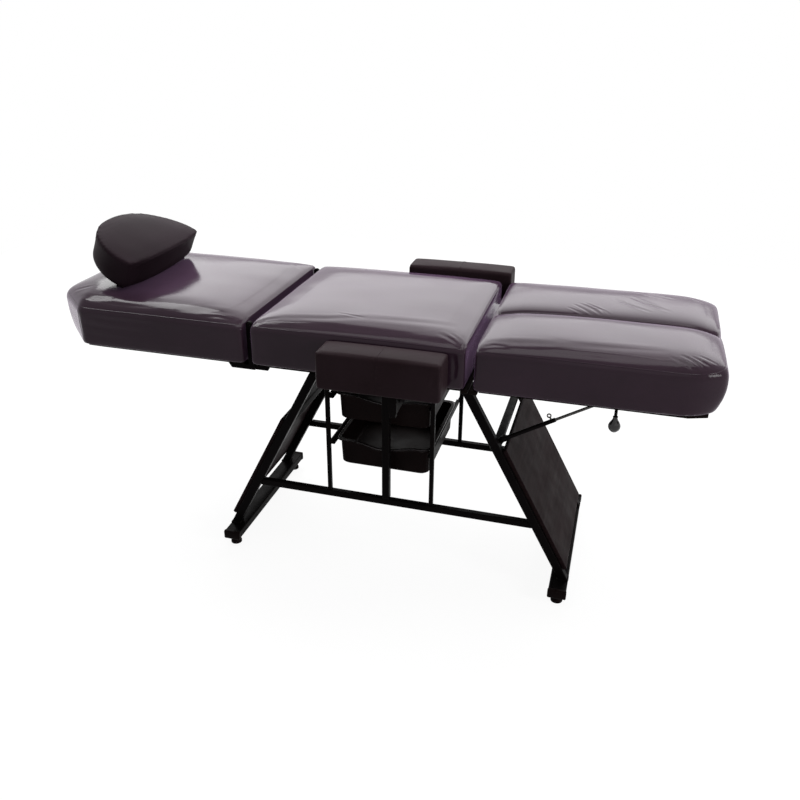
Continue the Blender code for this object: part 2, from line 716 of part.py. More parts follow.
def seat():
    width_edge = near_ends(HALF_WIDTH, EDGE_ROUND)
    height_edge = near_ends(CUSHION_THICKNESS / 2, EDGE_ROUND)
    cuts = section_cuts(SEAT_LENGTH)
    cushion("seat_cushion", cuts, [-width_edge, -0.45, 0.0, 0.45, width_edge], [-0.8, -0.2, height_edge],
            pad_shape(SEAT_X, HALF_WIDTH))
    section_board("seat_board", SEAT_X[0] + BOARD_HINGE_INSET, SEAT_X[1] - BOARD_HINGE_INSET,
                  lambda x: HALF_WIDTH)


def backrest():
    width_edge = near_ends(HALF_WIDTH, EDGE_ROUND)
    height_edge = near_ends(CUSHION_THICKNESS / 2, EDGE_ROUND)
    corner = near_ends(BACK_LENGTH / 2, BACK_CORNER_LENGTH)
    cuts = section_cuts(BACK_LENGTH)
    round_share = BACK_CORNER_ROUND / (BACK_LENGTH / 2)
    cuts[1:2] = [-corner - round_share, -corner, -corner + round_share]
    padding = cushion("back_cushion", cuts, [-width_edge, -0.45, 0.0, 0.45, width_edge],
                      [-0.8, -0.2, height_edge],
                      pad_shape(BACK_X, HALF_WIDTH, back_half_width, free_end=-1))
    back_board = section_board("back_board", BACK_X[0] + BOARD_INSET, BACK_X[1] - BOARD_HINGE_INSET,
                               back_half_width)
    return [padding, back_board]


def leg_rest():
    width_edge = near_ends(HALF_WIDTH, EDGE_ROUND)
    height_edge = near_ends(CUSHION_THICKNESS / 2, EDGE_ROUND)
    seam_edge = CHANNEL_WIDTH / 2 / HALF_WIDTH
    cuts = section_cuts(LEG_REST_LENGTH)
    padding = cushion("leg_rest_cushion", cuts,
                      [-width_edge, -0.5, -seam_edge, 0.0, seam_edge, 0.5, width_edge],
                      [-0.8, -0.2, height_edge],
                      pad_shape(LEG_REST_X, HALF_WIDTH, leg_rest_half_width, CHANNEL_DEPTH, free_end=1))
    pieces = [padding, section_board("leg_rest_board", LEG_REST_X[0] + BOARD_HINGE_INSET,
                                     LEG_REST_X[1] - BOARD_INSET, leg_rest_half_width)]
    for side_name, side in SIDES.items():
        start = LEG_PIVOT_X + LEG_RAIL_START
        y = side * LEG_RAIL_Y
        pieces.append(box(f"leg_rest_rail_{side_name}", (start, y - LEG_RAIL / 2, DECK - LEG_RAIL),
                          (start + LEG_RAIL_LENGTH, y + LEG_RAIL / 2, DECK), steel, TUBE_ROUND))
    return pieces


def hinge_arm(name, side, inner, foot_start, foot_end, pin_length=0.0):
    """Bracket of the backrest's hinge: an arm up between the cushions, and a flanged foot under a board.

    The foot runs from foot_start to foot_end, one of which is the hinge's own place.
    """
    y = side * (HINGE_PLATE_Y if inner else HINGE_PLATE_Y + HINGE_PLATE + 2 * GAP)
    eye = (BACK_PIVOT_X, BACK_PIVOT_Z)
    half = HINGE_ARM_WIDTH / 2
    foot_low = DECK - HINGE_FOOT_HEIGHT
    arm_left = BACK_PIVOT_X - half
    arm_right = BACK_PIVOT_X + half
    outline = arc(eye, half, 0, 180, 8)
    if foot_end > arm_right:
        outline += [(arm_left, foot_low), (foot_end - half, foot_low), (foot_end, DECK), (arm_right, DECK)]
    else:
        outline += [(arm_left, DECK), (foot_start, DECK), (foot_start + half, foot_low),
                    (arm_right, foot_low)]
    holes = [] if pin_length else [ring(eye, HINGE_PIN_RADIUS + PIN_CLEARANCE)]
    arm = plate(name, [outline] + holes, HINGE_PLATE, y, steel)
    flange_x = (arm_right + GAP, foot_end) if foot_end > arm_right else (foot_start, arm_left - GAP)
    inward = -side * HINGE_FLANGE_WIDTH
    y_range = sorted((y, y + inward))
    flange = box(name + "_flange", (flange_x[0], y_range[0], DECK - HINGE_FLANGE_THICKNESS),
                 (flange_x[1], y_range[1], DECK), steel)
    combine(arm, flange)
    if pin_length:
        pin = cylinder(name + "_pin", (eye[0], y, eye[1]), (eye[0], y + side * pin_length, eye[1]),
                       HINGE_PIN_RADIUS, steel)
        combine(arm, pin)
    return arm


def back_hinge(side_name, side):
    """Seat arm with its pin, and the back arm that turns on it."""
    half = HINGE_ARM_WIDTH / 2
    hinge_arm(f"back_hinge_seat_arm_{side_name}", side, True, BACK_PIVOT_X,
              BACK_PIVOT_X + half + SEAT_HINGE_FOOT, pin_length=2 * HINGE_PLATE)
    return hinge_arm(f"back_hinge_back_arm_{side_name}", side, False,
                     BACK_PIVOT_X - half - BACK_HINGE_FOOT, BACK_PIVOT_X)


def hinge_leaf(name, direction, first):
    """Leaf of the leg rest's hinge: a plate under the board with every other knuckle of the row."""
    knuckle = LEG_HINGE_LENGTH / LEG_HINGE_KNUCKLES
    axis = (LEG_PIVOT_X, LEG_PIVOT_Z)
    top = LEG_PIVOT_Z - LEG_HINGE_KNUCKLE_RADIUS + LEG_HINGE_LEAF_THICKNESS
    low = LEG_PIVOT_Z - LEG_HINGE_KNUCKLE_RADIUS
    edge = LEG_PIVOT_X + direction * (LEG_HINGE_KNUCKLE_RADIUS + SIDE_CLEARANCE)
    tip = edge + direction * LEG_HINGE_LEAF
    x_range = sorted((edge, tip))
    leaf = box(name, (x_range[0], -LEG_HINGE_LENGTH / 2, low), (x_range[1], LEG_HINGE_LENGTH / 2, top), steel)
    bore = ring(axis, LEG_HINGE_PIN_RADIUS + PIN_CLEARANCE, 12)
    tongue = [(edge + direction * SIDE_CLEARANCE, low), (edge + direction * SIDE_CLEARANCE, top)]
    if direction > 0:
        outline = arc(axis, LEG_HINGE_KNUCKLE_RADIUS, -45, 270, 14) + tongue
    else:
        outline = arc(axis, LEG_HINGE_KNUCKLE_RADIUS, 225, -90, 14) + tongue
    for i in range(first, LEG_HINGE_KNUCKLES, 2):
        y = -LEG_HINGE_LENGTH / 2 + knuckle * (i + 0.5)
        holds_pin = i in (0, LEG_HINGE_KNUCKLES - 1)
        outlines = [outline] if holds_pin else [outline, bore]
        combine(leaf, plate(f"{name}_knuckle_{i}", outlines, knuckle - 2 * GAP, y, steel))
    return leaf


def leg_hinge():
    """Piano hinge; its pin is swaged into the seat leaf's two end knuckles."""
    seat_leaf = hinge_leaf("leg_hinge_seat_leaf", -1, 0)
    reach = LEG_HINGE_LENGTH / 2 - GAP
    combine(seat_leaf, cylinder("leg_hinge_pin", (LEG_PIVOT_X, -reach, LEG_PIVOT_Z),
                                (LEG_PIVOT_X, reach, LEG_PIVOT_Z), LEG_HINGE_PIN_RADIUS, steel, 12))
    return hinge_leaf("leg_hinge_leg_leaf", 1, 1)


def strut_point(distance, y=STRUT_Y):
    """Point on the strut's line, measured from its lower pivot."""
    return (STRUT_FOOT_X + distance * math.cos(STRUT_RISE), y, STRUT_FOOT_Z + distance * math.sin(STRUT_RISE))


def strut_tab(name, centre, towards, reach):
    """Flat eye at the end of a strut piece: a round end, and straight sides that run into the bar."""
    heading = math.degrees(STRUT_RISE) if towards > 0 else math.degrees(STRUT_RISE) + 180
    outline = arc(centre, STRUT_EYE_RADIUS, heading + 90, heading + 270, 10)
    away = (math.cos(math.radians(heading)) * reach, math.sin(math.radians(heading)) * reach)
    narrow = STRUT_ROD_RADIUS * 0.85
    side = (-away[1] / reach * narrow, away[0] / reach * narrow)
    outline += [(centre[0] + away[0] - side[0], centre[1] + away[1] - side[1]),
                (centre[0] + away[0] + side[0], centre[1] + away[1] + side[1])]
    return plate(name, [outline], STRUT_TAB, STRUT_Y, steel)


def strut_tube():
    """Outer tube, bored for the rod, with an eye and a pin at its foot."""
    tube = cylinder("strut_tube", strut_point(STRUT_TUBE_START), strut_point(STRUT_TUBE_END),
                    STRUT_TUBE_RADIUS, steel)
    foot = (STRUT_FOOT_X, STRUT_FOOT_Z)
    combine(tube, strut_tab("strut_tube_eye", foot, 1, STRUT_TUBE_START + 0.012))
    bore = cylinder("strut_bore", strut_point(STRUT_TUBE_START + STRUT_TUBE_FLOOR),
                    strut_point(STRUT_TUBE_END + 0.01), STRUT_ROD_RADIUS + PIN_CLEARANCE, None)
    combine(tube, bore, "DIFFERENCE")
    combine(tube, strut_washer("strut_foot_washer", foot))
    pin = cylinder("strut_foot_pin", (foot[0], STRUT_Y - STRUT_TAB / 2 - 0.003, foot[1]),
                   (foot[0], LUG_Y + STRUT_TAB / 2 + 0.003, foot[1]), HINGE_PIN_RADIUS, steel, 16)
    return combine(tube, pin)


def strut_washer(name, centre):
    """Washer between an eye and its lug, part of the eye."""
    start = (centre[0], STRUT_Y, centre[1])
    end = (centre[0], STRUT_Y + STRUT_TAB / 2 + STRUT_WASHER, centre[1])
    return cylinder(name, start, end, STRUT_WASHER_RADIUS, steel)


def strut_rod():
    """Inner rod, with an eye and its bolt at the leg rest's end."""
    start = STRUT_TUBE_END - STRUT_ENGAGEMENT
    clear = STRUT_EYE_RADIUS + STRUT_EYE_NECK
    rod = cylinder("strut_rod", strut_point(start), strut_point(STRUT_LENGTH - clear), STRUT_ROD_RADIUS,
                   bright_steel)
    head = (STRUT_HEAD_X, STRUT_HEAD_Z)
    combine(rod, strut_tab("strut_rod_eye", head, -1, clear + 0.003))
    combine(rod, strut_washer("strut_head_washer", head))
    bolt = cylinder("strut_head_bolt", (head[0], STRUT_Y, head[1]),
                    (head[0], STRUT_Y - STRUT_TAB / 2 - 0.004, head[1]), 0.006, steel, 6)
    return combine(rod, bolt)


def clamp_screw():
    """Thumb screw on the tube's upper side that clamps the rod: a shank and a ring to turn it by."""
    centre = Vector(strut_point(STRUT_TUBE_END - CLAMP_SETBACK))
    upwards = Vector((-math.sin(STRUT_RISE), 0, math.cos(STRUT_RISE)))
    start = centre + upwards * (STRUT_TUBE_RADIUS + GAP)
    middle = start + upwards * (CLAMP_LENGTH + CLAMP_RING)
    end = middle - upwards * (CLAMP_RING + CLAMP_RING_HOLE) / 2
    screw = cylinder("clamp_screw", start, end, CLAMP_RADIUS, bright_steel, 12)
    eye = (middle.x, middle.z)
    return combine(screw, plate("clamp_ring", [ring(eye, CLAMP_RING, 20), ring(eye, CLAMP_RING_HOLE, 12)],
                                CLAMP_RING_THICKNESS, STRUT_Y, bright_steel))


def strut_bracket():
    """Plate on the near rail of the leg rest, beside the rod's eye, with the bearing of the lever."""
    head = (STRUT_HEAD_X, STRUT_HEAD_Z)
    lever = (LEVER_X, LEVER_Z)
    margin = LEVER_RADIUS * 3
    outline = [(LEVER_X + margin, DECK), (STRUT_HEAD_X - margin * 1.4, DECK)]
    outline += arc(head, STRUT_EYE_RADIUS + 0.002, 200, 300, 6)
    outline += arc(lever, LEVER_RADIUS * 2, 260, 360, 6)
    hole = ring(lever, LEVER_RADIUS + PIN_CLEARANCE)
    return plate("strut_bracket", [outline, hole], STRUT_TAB, LUG_Y, steel)


def release_lever():
    """Bent rod: a shaft across the leg rest in its bearing, then a drop to the knob."""
    corner = Vector((LEVER_X, LEVER_Y, LEVER_Z))
    points = [(LEVER_X, LUG_Y + STRUT_TAB / 2, LEVER_Z)]
    steps = 5
    for i in range(steps + 1):
        angle = math.radians(90) * i / steps
        points.append((corner.x, corner.y + LEVER_BEND * (1 - math.sin(angle)),
                       corner.z - LEVER_BEND * (1 - math.cos(angle))))
    points.append((corner.x, corner.y, corner.z - LEVER_DROP))
    return wire("release_lever", points, LEVER_RADIUS, steel)


def release_knob():
    """Pear-shaped knob under the lever's end."""
    top = LEVER_Z - LEVER_DROP - GAP
    steps = 9
    profile = [(0.0, top), (KNOB_RADIUS * 0.42, top)]
    for i in range(1, steps):
        share = i / steps
        swell = math.sin(math.pi * share ** 1.35) ** 0.75
        profile.append((KNOB_RADIUS * max(swell, 0.42 * (1 - share)), top - KNOB_LENGTH * share))
    profile.append((0.0, top - KNOB_LENGTH))
    obj = turned("release_knob", profile, gloss_plastic, 20)
    obj.location = (LEVER_X, LEVER_Y, 0)
    return obj


def square_tube(name, centre, half_size, half_bore, material):
    """Square tube open at both ends; its bore runs along the one direction where half_bore is zero."""
    centre = Vector(centre)
    half_size = Vector(half_size)
    tube = box(name, centre - half_size, centre + half_size, material)
    through = Vector([bore or half + 0.01 for bore, half in zip(half_bore, half_size)])
    return combine(tube, box(name + "_bore", centre - through, centre + through, None), "DIFFERENCE")


def arm_receiver():
    """Square tube under both top rails, open at both ends for the armrests' bars."""
    bore = ARM_BAR / 2 + PIN_CLEARANCE
    square_tube("armrest_receiver", (ARM_BAR_X, 0, ARM_BAR_Z), (RECEIVER / 2, RECEIVER_END, RECEIVER / 2),
                (bore, 0, bore), steel)


def arm_bar(name, side):
    """Square bar in the receiver, with an upright sleeve at its outer end."""
    half = ARM_BAR / 2
    low = ARM_BAR_Z - half
    high = ARM_BASE - ARM_SLEEVE_TOP
    bore = ARM_POST / 2 + PIN_CLEARANCE
    sleeve = square_tube(name, (ARM_BAR_X, side * ARM_Y, (low + high) / 2),
                         (ARM_SLEEVE / 2, ARM_SLEEVE / 2, (high - low) / 2), (bore, bore, 0), steel)
    reach = sorted((side * (RECEIVER_END - ARM_BAR_INSERT), side * (ARM_Y - (ARM_SLEEVE / 2 + bore) / 2)))
    return combine(sleeve, box(name + "_level", (ARM_BAR_X - half, reach[0], low + GAP),
                               (ARM_BAR_X + half, reach[1], low + ARM_BAR), steel))


def arm_post(name, side, raised):
    """Square post in the sleeve, with the plate that the pad is screwed to."""
    half = ARM_POST / 2
    low = ARM_BAR_Z - ARM_BAR / 2 - ARM_POST_TAIL + raised
    plate_low = ARM_BASE + raised
    post = box(name, (ARM_BAR_X - half, side * ARM_Y - half, low),
               (ARM_BAR_X + half, side * ARM_Y + half, plate_low + ARM_PLATE[2] / 2), steel)
    return combine(post, box(name + "_plate",
                             (ARM_BAR_X - ARM_PLATE[0] / 2, side * ARM_Y - ARM_PLATE[1] / 2, plate_low),
                             (ARM_BAR_X + ARM_PLATE[0] / 2, side * ARM_Y + ARM_PLATE[1] / 2,
                              plate_low + ARM_PLATE[2]), steel))


def arm_pad(name, side, raised):
    """Box-shaped pad with rolled edges and slightly drawn-in faces."""
    middle_x = ARM_BAR_X + side * ARM_SHIFT
    middle_y = side * ARM_Y
    half = Vector((ARM_LENGTH / 2, ARM_WIDTH / 2, ARM_HEIGHT / 2))
    low = ARM_BASE + ARM_PLATE[2] + GAP + raised

    def shape(u, v, w):
        draw = SIDE_DRAW * 0.5 * (1 - w ** 4)
        x = middle_x + u * (half.x - draw * (1 - v ** 4))
        y = middle_y + v * (half.y - draw * (1 - u ** 4))
        z = low + half.z + w * half.z
        if w > 0.99:
            z += CROWN * 0.4 * (1 - u ** 4) * (1 - v ** 4)
        return Vector((x, y, z))

    return cushion(name, [-near_ends(half.x, ARM_EDGE), 0.0, near_ends(half.x, ARM_EDGE)],
                   [-near_ends(half.y, ARM_EDGE), near_ends(half.y, ARM_EDGE)],
                   [-near_ends(half.z, ARM_EDGE), near_ends(half.z, ARM_EDGE)], shape)


def tray_empties():
    for level, rim in TRAY_RIM_Z.items():
        carry(pivot(f"tray_{level}_slide", (TRAY_X, 0, rim)), [tray(f"tray_{level}", rim)])


def armrests():
    arm_receiver()
    for side_name, side in SIDES.items():
        raised = ARM_RAISED if side > 0 else 0.0
        lift = pivot(f"armrest_{side_name}_lift", (ARM_BAR_X, side * ARM_Y, ARM_BASE - ARM_SLEEVE_TOP))
        carry(lift, [arm_pad(f"armrest_pad_{side_name}", side, raised),
                     arm_post(f"armrest_post_{side_name}", side, raised)])
        slide = pivot(f"armrest_{side_name}_slide", (ARM_BAR_X, side * RECEIVER_END, ARM_BAR_Z))
        carry(slide, [arm_bar(f"armrest_bar_{side_name}", side), lift])


def surface_height(obj, x, y):
    """Height of a finished form's top at a place, found by looking down on it."""
    graph = bpy.context.evaluated_depsgraph_get()
    shown = obj.evaluated_get(graph)
    into = shown.matrix_world.inverted()
    hit, place, _, _ = shown.ray_cast(into @ Vector((x, y, 2.0)), Vector((0, 0, -1)))
    return (shown.matrix_world @ place).z if hit else CUSHION_TOP


def pillow_outline(inset):
    """Half-moon seen from above its board, in the pillow's own axes: +X towards the foot end."""
    foot = PILLOW_OVERHANG - inset
    head = PILLOW_OVERHANG - PILLOW_DEPTH + inset
    wide = PILLOW_WIDTH / 2 - inset
    narrow = PILLOW_HEAD_WIDTH / 2 - inset
    return [(foot, -wide), (foot, wide), ((foot + head) / 2, (wide + narrow) / 2 + 0.012),
            (head, narrow), (head, -narrow), ((foot + head) / 2, -(wide + narrow) / 2 - 0.012)]


def pillow(back_cushion):
    """Head pillow on a board whose ears turn on two short posts."""
    surface = max(surface_height(back_cushion, x, PILLOW_POST_Y - y)
                  for x, y in ring((PILLOW_AXIS_X, 0), PILLOW_FLANGE_RADIUS))
    crown = surface_height(back_cushion, PILLOW_AXIS_X, 0)
    axis_z = crown + PILLOW_AXIS_RISE
    axis = pivot("pillow_tilt", (PILLOW_AXIS_X, 0, axis_z))
    axis.rotation_euler = (0, PILLOW_TILT, 0)
    bpy.context.view_layer.update()
    middle = PILLOW_OVERHANG - PILLOW_DEPTH / 2
    low = PILLOW_LIFT + PILLOW_BOARD + GAP

    def shape(u, v, w):
        share = (1 - u) / 2
        width = PILLOW_WIDTH / 2 * (1 - share) + PILLOW_HEAD_WIDTH / 2 * share + 0.030 * (1 - u * u)
        draw = SIDE_DRAW * (1 - w * w)
        x = middle + u * (PILLOW_DEPTH / 2 - draw * (1 - v ** 4))
        if u < 0:
            x -= 0.012 * (1 - v * v)
        blunt = PILLOW_CORNER * (u * v) ** 8
        if w < -0.99:
            blunt += PILLOW_UNDERSIDE
        x -= u * blunt
        width -= blunt
        z = low + PILLOW_THICKNESS * (w + 1) / 2
        if w > 0.99:
            z += CROWN * 0.8 * (1 - u ** 4) * (1 - v ** 4)
        return Vector((x, v * (width - draw), z))

    edge = EDGE_ROUND * 0.6
    padding = cushion("pillow_cushion",
                      [-near_ends(PILLOW_DEPTH / 2, edge), 0.0, near_ends(PILLOW_DEPTH / 2, edge)],
                      [-near_ends(PILLOW_WIDTH / 2, edge), -0.4, 0.4, near_ends(PILLOW_WIDTH / 2, edge)],
                      [-0.8, 0.0, near_ends(PILLOW_THICKNESS / 2, edge)], shape)
    base = board("pillow_board", pillow_outline(PILLOW_BOARD_INSET), PILLOW_LIFT, PILLOW_BOARD, plywood)
    for side_name, side in SIDES.items():
        base = combine(base, pillow_ear(f"pillow_ear_{side_name}", side))
    for piece in (padding, base):
        piece.parent = axis
    for tool in cutters.objects:
        if tool.name.startswith("pillow_ear"):
            tool.parent = axis
    posts = [pillow_post(f"pillow_post_{name}", side, surface, axis_z) for name, side in SIDES.items()]
    return axis, posts


def pillow_ear(name, side):
    """Ear under the pillow's board, with the pin that turns in a post."""
    y = side * (PILLOW_POST_Y - PILLOW_EAR - 2 * GAP)
    outline = arc((0, 0), PILLOW_EAR_RADIUS, 180, 360, 8)
    high = PILLOW_LIFT + PILLOW_BOARD / 2
    outline += [(PILLOW_EAR_RADIUS, high), (-PILLOW_EAR_RADIUS, high)]
    ear = plate(name, [outline], PILLOW_EAR, y, steel)
    pin = cylinder(name + "_pin", (0, y, 0), (0, y + side * (PILLOW_EAR * 1.5 + 2 * GAP), 0),
                   HINGE_PIN_RADIUS * 0.75, steel, 12)
    return combine(ear, pin)


def pillow_post(name, side, surface, axis_z):
    """Short post on the backrest: a round flange and an upright plate with the pin's hole."""
    y = side * PILLOW_POST_Y
    low = surface + GAP
    flange = cylinder(name, (PILLOW_AXIS_X, y, low), (PILLOW_AXIS_X, y, low + PILLOW_FLANGE_HEIGHT),
                      PILLOW_FLANGE_RADIUS, steel, 20)
    outline = arc((PILLOW_AXIS_X, axis_z), PILLOW_EAR_RADIUS, 0, 180, 8)
    outline += [(PILLOW_AXIS_X - PILLOW_EAR_RADIUS, low + PILLOW_FLANGE_HEIGHT / 2),
                (PILLOW_AXIS_X + PILLOW_EAR_RADIUS, low + PILLOW_FLANGE_HEIGHT / 2)]
    hole = ring((PILLOW_AXIS_X, axis_z), HINGE_PIN_RADIUS * 0.75 + PIN_CLEARANCE, 12)
    return combine(flange, plate(name + "_plate", [outline, hole], PILLOW_EAR, y, steel))


clear_scene()
parts = collection("massage_table")
cutters = collection("cutters")
vinyl = finish("vinyl", (0.055, 0.035, 0.048), 0.32)
vinyl_board = finish("vinyl_board", (0.030, 0.020, 0.022), 0.38)
plywood = finish("plywood", (0.020, 0.016, 0.016), 0.6)
steel = finish("steel", (0.012, 0.012, 0.013), 0.4)
bright_steel = finish("bright_steel", (0.35, 0.35, 0.36), 0.3, 1.0)
plastic = finish("plastic", (0.018, 0.015, 0.018), 0.45)
gloss_plastic = finish("gloss_plastic", (0.012, 0.010, 0.012), 0.2)

base_frame()
tray_hangers()
tray_empties()
for end_label, end_sign in ENDS.items():
    for side_label, side_sign in SIDES.items():
        foot = glide(f"glide_{end_label}_{side_label}", end_sign, side_sign)
        carry(pivot(f"glide_{end_label}_{side_label}_screw", foot.location), [foot])
seat()
armrests()

back_pivot = pivot("back_pivot", (BACK_PIVOT_X, 0, BACK_PIVOT_Z))
back_pieces = backrest()
pillow_axis, pillow_posts = pillow(back_pieces[0])
back_pieces += [back_hinge(label, sign) for label, sign in SIDES.items()]
carry(back_pivot, back_pieces + pillow_posts + [pillow_axis])

leg_pivot = pivot("leg_rest_pivot", (LEG_PIVOT_X, 0, LEG_PIVOT_Z))
lever_pivot = pivot("release_lever_pivot", (LEVER_X, 0, LEVER_Z))
carry(lever_pivot, [release_lever(), release_knob()])
carry(leg_pivot, leg_rest() + [leg_hinge(), strut_bracket(), lever_pivot])

strut_pivot = pivot("strut_pivot", (STRUT_FOOT_X, STRUT_Y, STRUT_FOOT_Z))
rod_slide = pivot("strut_rod_slide", strut_point(STRUT_TUBE_END))
clamp_pivot = pivot("clamp_screw_pivot", strut_point(STRUT_TUBE_END - CLAMP_SETBACK))
carry(rod_slide, [strut_rod()])
carry(clamp_pivot, [clamp_screw()])
carry(strut_pivot, [strut_tube(), rod_slide, clamp_pivot])
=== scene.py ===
"""Looks of the massage table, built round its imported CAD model. Metres, +Z up."""
import json
import math

import bmesh
import bpy
import numpy as np
from mathutils import Matrix, Vector, noise
from mathutils.bvhtree import BVHTree


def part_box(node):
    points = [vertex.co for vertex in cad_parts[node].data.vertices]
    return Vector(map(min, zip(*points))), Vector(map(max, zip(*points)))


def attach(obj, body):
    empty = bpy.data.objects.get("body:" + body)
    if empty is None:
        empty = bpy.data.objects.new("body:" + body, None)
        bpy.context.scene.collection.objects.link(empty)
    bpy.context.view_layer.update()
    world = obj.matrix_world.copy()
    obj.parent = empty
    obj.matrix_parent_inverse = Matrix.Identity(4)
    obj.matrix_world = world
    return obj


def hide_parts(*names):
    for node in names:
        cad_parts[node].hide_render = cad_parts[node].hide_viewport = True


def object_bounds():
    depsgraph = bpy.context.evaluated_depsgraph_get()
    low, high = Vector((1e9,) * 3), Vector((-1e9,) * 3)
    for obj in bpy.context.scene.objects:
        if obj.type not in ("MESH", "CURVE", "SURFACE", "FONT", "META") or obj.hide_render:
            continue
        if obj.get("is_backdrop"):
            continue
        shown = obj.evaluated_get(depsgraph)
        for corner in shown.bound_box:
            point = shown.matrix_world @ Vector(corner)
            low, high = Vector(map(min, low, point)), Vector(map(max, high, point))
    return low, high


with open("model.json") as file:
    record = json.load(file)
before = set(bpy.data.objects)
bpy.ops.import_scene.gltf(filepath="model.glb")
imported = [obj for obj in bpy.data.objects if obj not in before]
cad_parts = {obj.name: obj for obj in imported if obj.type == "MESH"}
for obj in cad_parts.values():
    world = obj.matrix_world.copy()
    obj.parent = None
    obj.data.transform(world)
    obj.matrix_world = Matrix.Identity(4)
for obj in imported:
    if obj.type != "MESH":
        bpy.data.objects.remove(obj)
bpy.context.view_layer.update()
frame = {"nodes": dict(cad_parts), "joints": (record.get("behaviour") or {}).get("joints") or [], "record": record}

# Sections, as in the CAD model
HALF_WIDTH = 0.290
CUSHION_BASE = 0.645
CUSHION_TOP = 0.764
CROWN = 0.015
SEAT_TOP = (0.017, 0.012)       # rise at the middle, and fall towards the near edge
BACK_TOP = (0.022, 0.016)
LEG_REST_TOP = (0.018, 0.010)
END_POWER = 8           # how late the crown falls off towards the ends, and towards the sides
SIDE_POWER = 14
NEAR_FALL_POWER = 16
FACE_FROM = 0.99        # of a face's own coordinate, which is 1 on the face
SIDE_DRAW = 0.005       # how far the sides pull in between the corners
EDGE = 0.025            # stretch that a rolled edge takes
HINGED_EDGE = 0.017     # the same at the ends that meet
BACK_X = (-0.94533, -0.30333)
SEAT_X = (-0.28133, 0.31467)
LEG_REST_X = (0.33667, 0.93867)
BACK_CORNER_LENGTH = 0.130
BACK_CORNER_WIDTH = 0.122
BACK_CORNER_ROUND = 0.016
LEG_REST_CORNER = 0.095
LEG_REST_CORNER_WIDTH = 0.050
END_BOW = 0.009
END_UNDERCUT = 0.014
CHANNEL = ((0.007, 0.006), (0.011, 0.034))  # depth and half-width: the seam's pull, and the halves' fall
CHANNEL_END_SHARE = 0.5     # of its depth, down the free end

# Armrest pads
ARM_LENGTH = 0.330
ARM_WIDTH = 0.092
ARM_HEIGHT = 0.105
ARM_EDGE = 0.012
ARM_CROWN = CROWN * 0.4
ARM_SEAM_SHIFT = -0.001

# Pillow, in its own axes round the tilt's pin
PILLOW_TILT = math.radians(22.5)
PILLOW_DEPTH = 0.209
PILLOW_WIDTH = 0.430
PILLOW_HEAD_WIDTH = 0.250
PILLOW_THICKNESS = 0.088
PILLOW_OVERHANG = 0.054
PILLOW_LOW = 0.0183
PILLOW_EDGE = 0.014
PILLOW_CORNER = 0.020
PILLOW_UNDERSIDE = 0.008
PILLOW_SIDE_BOW = 0.030
PILLOW_HEAD_BOW = 0.012
PILLOW_CROWN = CROWN * 0.8
PILLOW_MIDDLE = PILLOW_OVERHANG - PILLOW_DEPTH / 2

# Padding
VOXEL = 0.006
SWELL_START = 0.0025    # the pad starts that much smaller, and swells in the simulation
SWELL_CAP = 0.0045
SIM_FRAMES = 20
SMOOTHING_ROUNDS = 40   # that even out how far the pad swells
SECTION_HOLD = (0.008, 0.006)   # height over the base that is held, and the stretch that it fades over
PILLOW_HOLD = (0.006, 0.004)
FLAT_BASE = 0.004       # height that no fold reaches, and the stretch that the folds fade over
FLAT_BASE_FADE = 0.012
PAD_SWING = 0.0006      # unevenness of the padding
PILLOW_SWING = 0.0008

# Folds
FOLD_SPREAD = 1.3       # widens all the folds, and softens them
FOLD_SOFTNESS = 0.6
RIDGE_AWAY = 2.1        # from a fold's valley to its ridges, in half-widths
RIDGE_SHARE = 0.55      # of the valley's depth
FADE_POWER = 0.6

# Seams and small fittings
SEAM_RADIUS = 0.0013
SEAM_SPACING = 0.008
SEAM_SINK = 0.35        # share of a cord's radius that is sunk
SEAM_REACH = 0.06       # from where a ray starts to the outline it passes
BELT_REACH = 0.15
BELT_STEPS = 72
OUTLINE_ROUNDS = 12
CORD_ROUNDS = 3
RIM_RADIUS = 0.0016
RIM_INSET = 0.0030
RIVET_RADIUS = 0.0048
RIVET_PROFILE = [(-0.001, RIVET_RADIUS), (0.0003, RIVET_RADIUS), (0.0012, RIVET_RADIUS * 0.86),
                 (0.0020, RIVET_RADIUS * 0.55), (0.0023, RIVET_RADIUS * 0.2)]
RIVET_PLACES = ((-0.3138, 0.6889), (-0.3145, 0.6720))   # x and z on the hinge's arms
# Dark strips of painted shade in the gap at the leg rest's hinge
STRIP_X = {"frame": (0.3034, 0.3225), "leg_rest": (0.3262, 0.3480)}
STRIP_Y = (0.147, 0.282)
STRIP_Z = (0.6332, 0.6442)
STRIP_BEVEL = 0.002
WELD_RADIUS = 0.0024
WELD_STEPS = 8          # on each side of a foot
WELD_RISE = 0.0006
WELD_LUMP = 0.0004
FOOT_LENGTH = 0.0285    # of a splayed leg's foot along X
CAP_PROUD = 0.0015
CAP_LENGTH = 0.012
CAP_BEVEL = 0.004

# Camera, fitted to the photograph
CAMERA_PLACE = (0.67122, -2.17826, 1.54480)
CAMERA_YAW = math.radians(16.7971)
CAMERA_PITCH = math.radians(25.8203)
CAMERA_ROLL = math.radians(-0.1106)
CAMERA_LENS = 37.048
CAMERA_SHIFT = (0.0202, 0.0003)

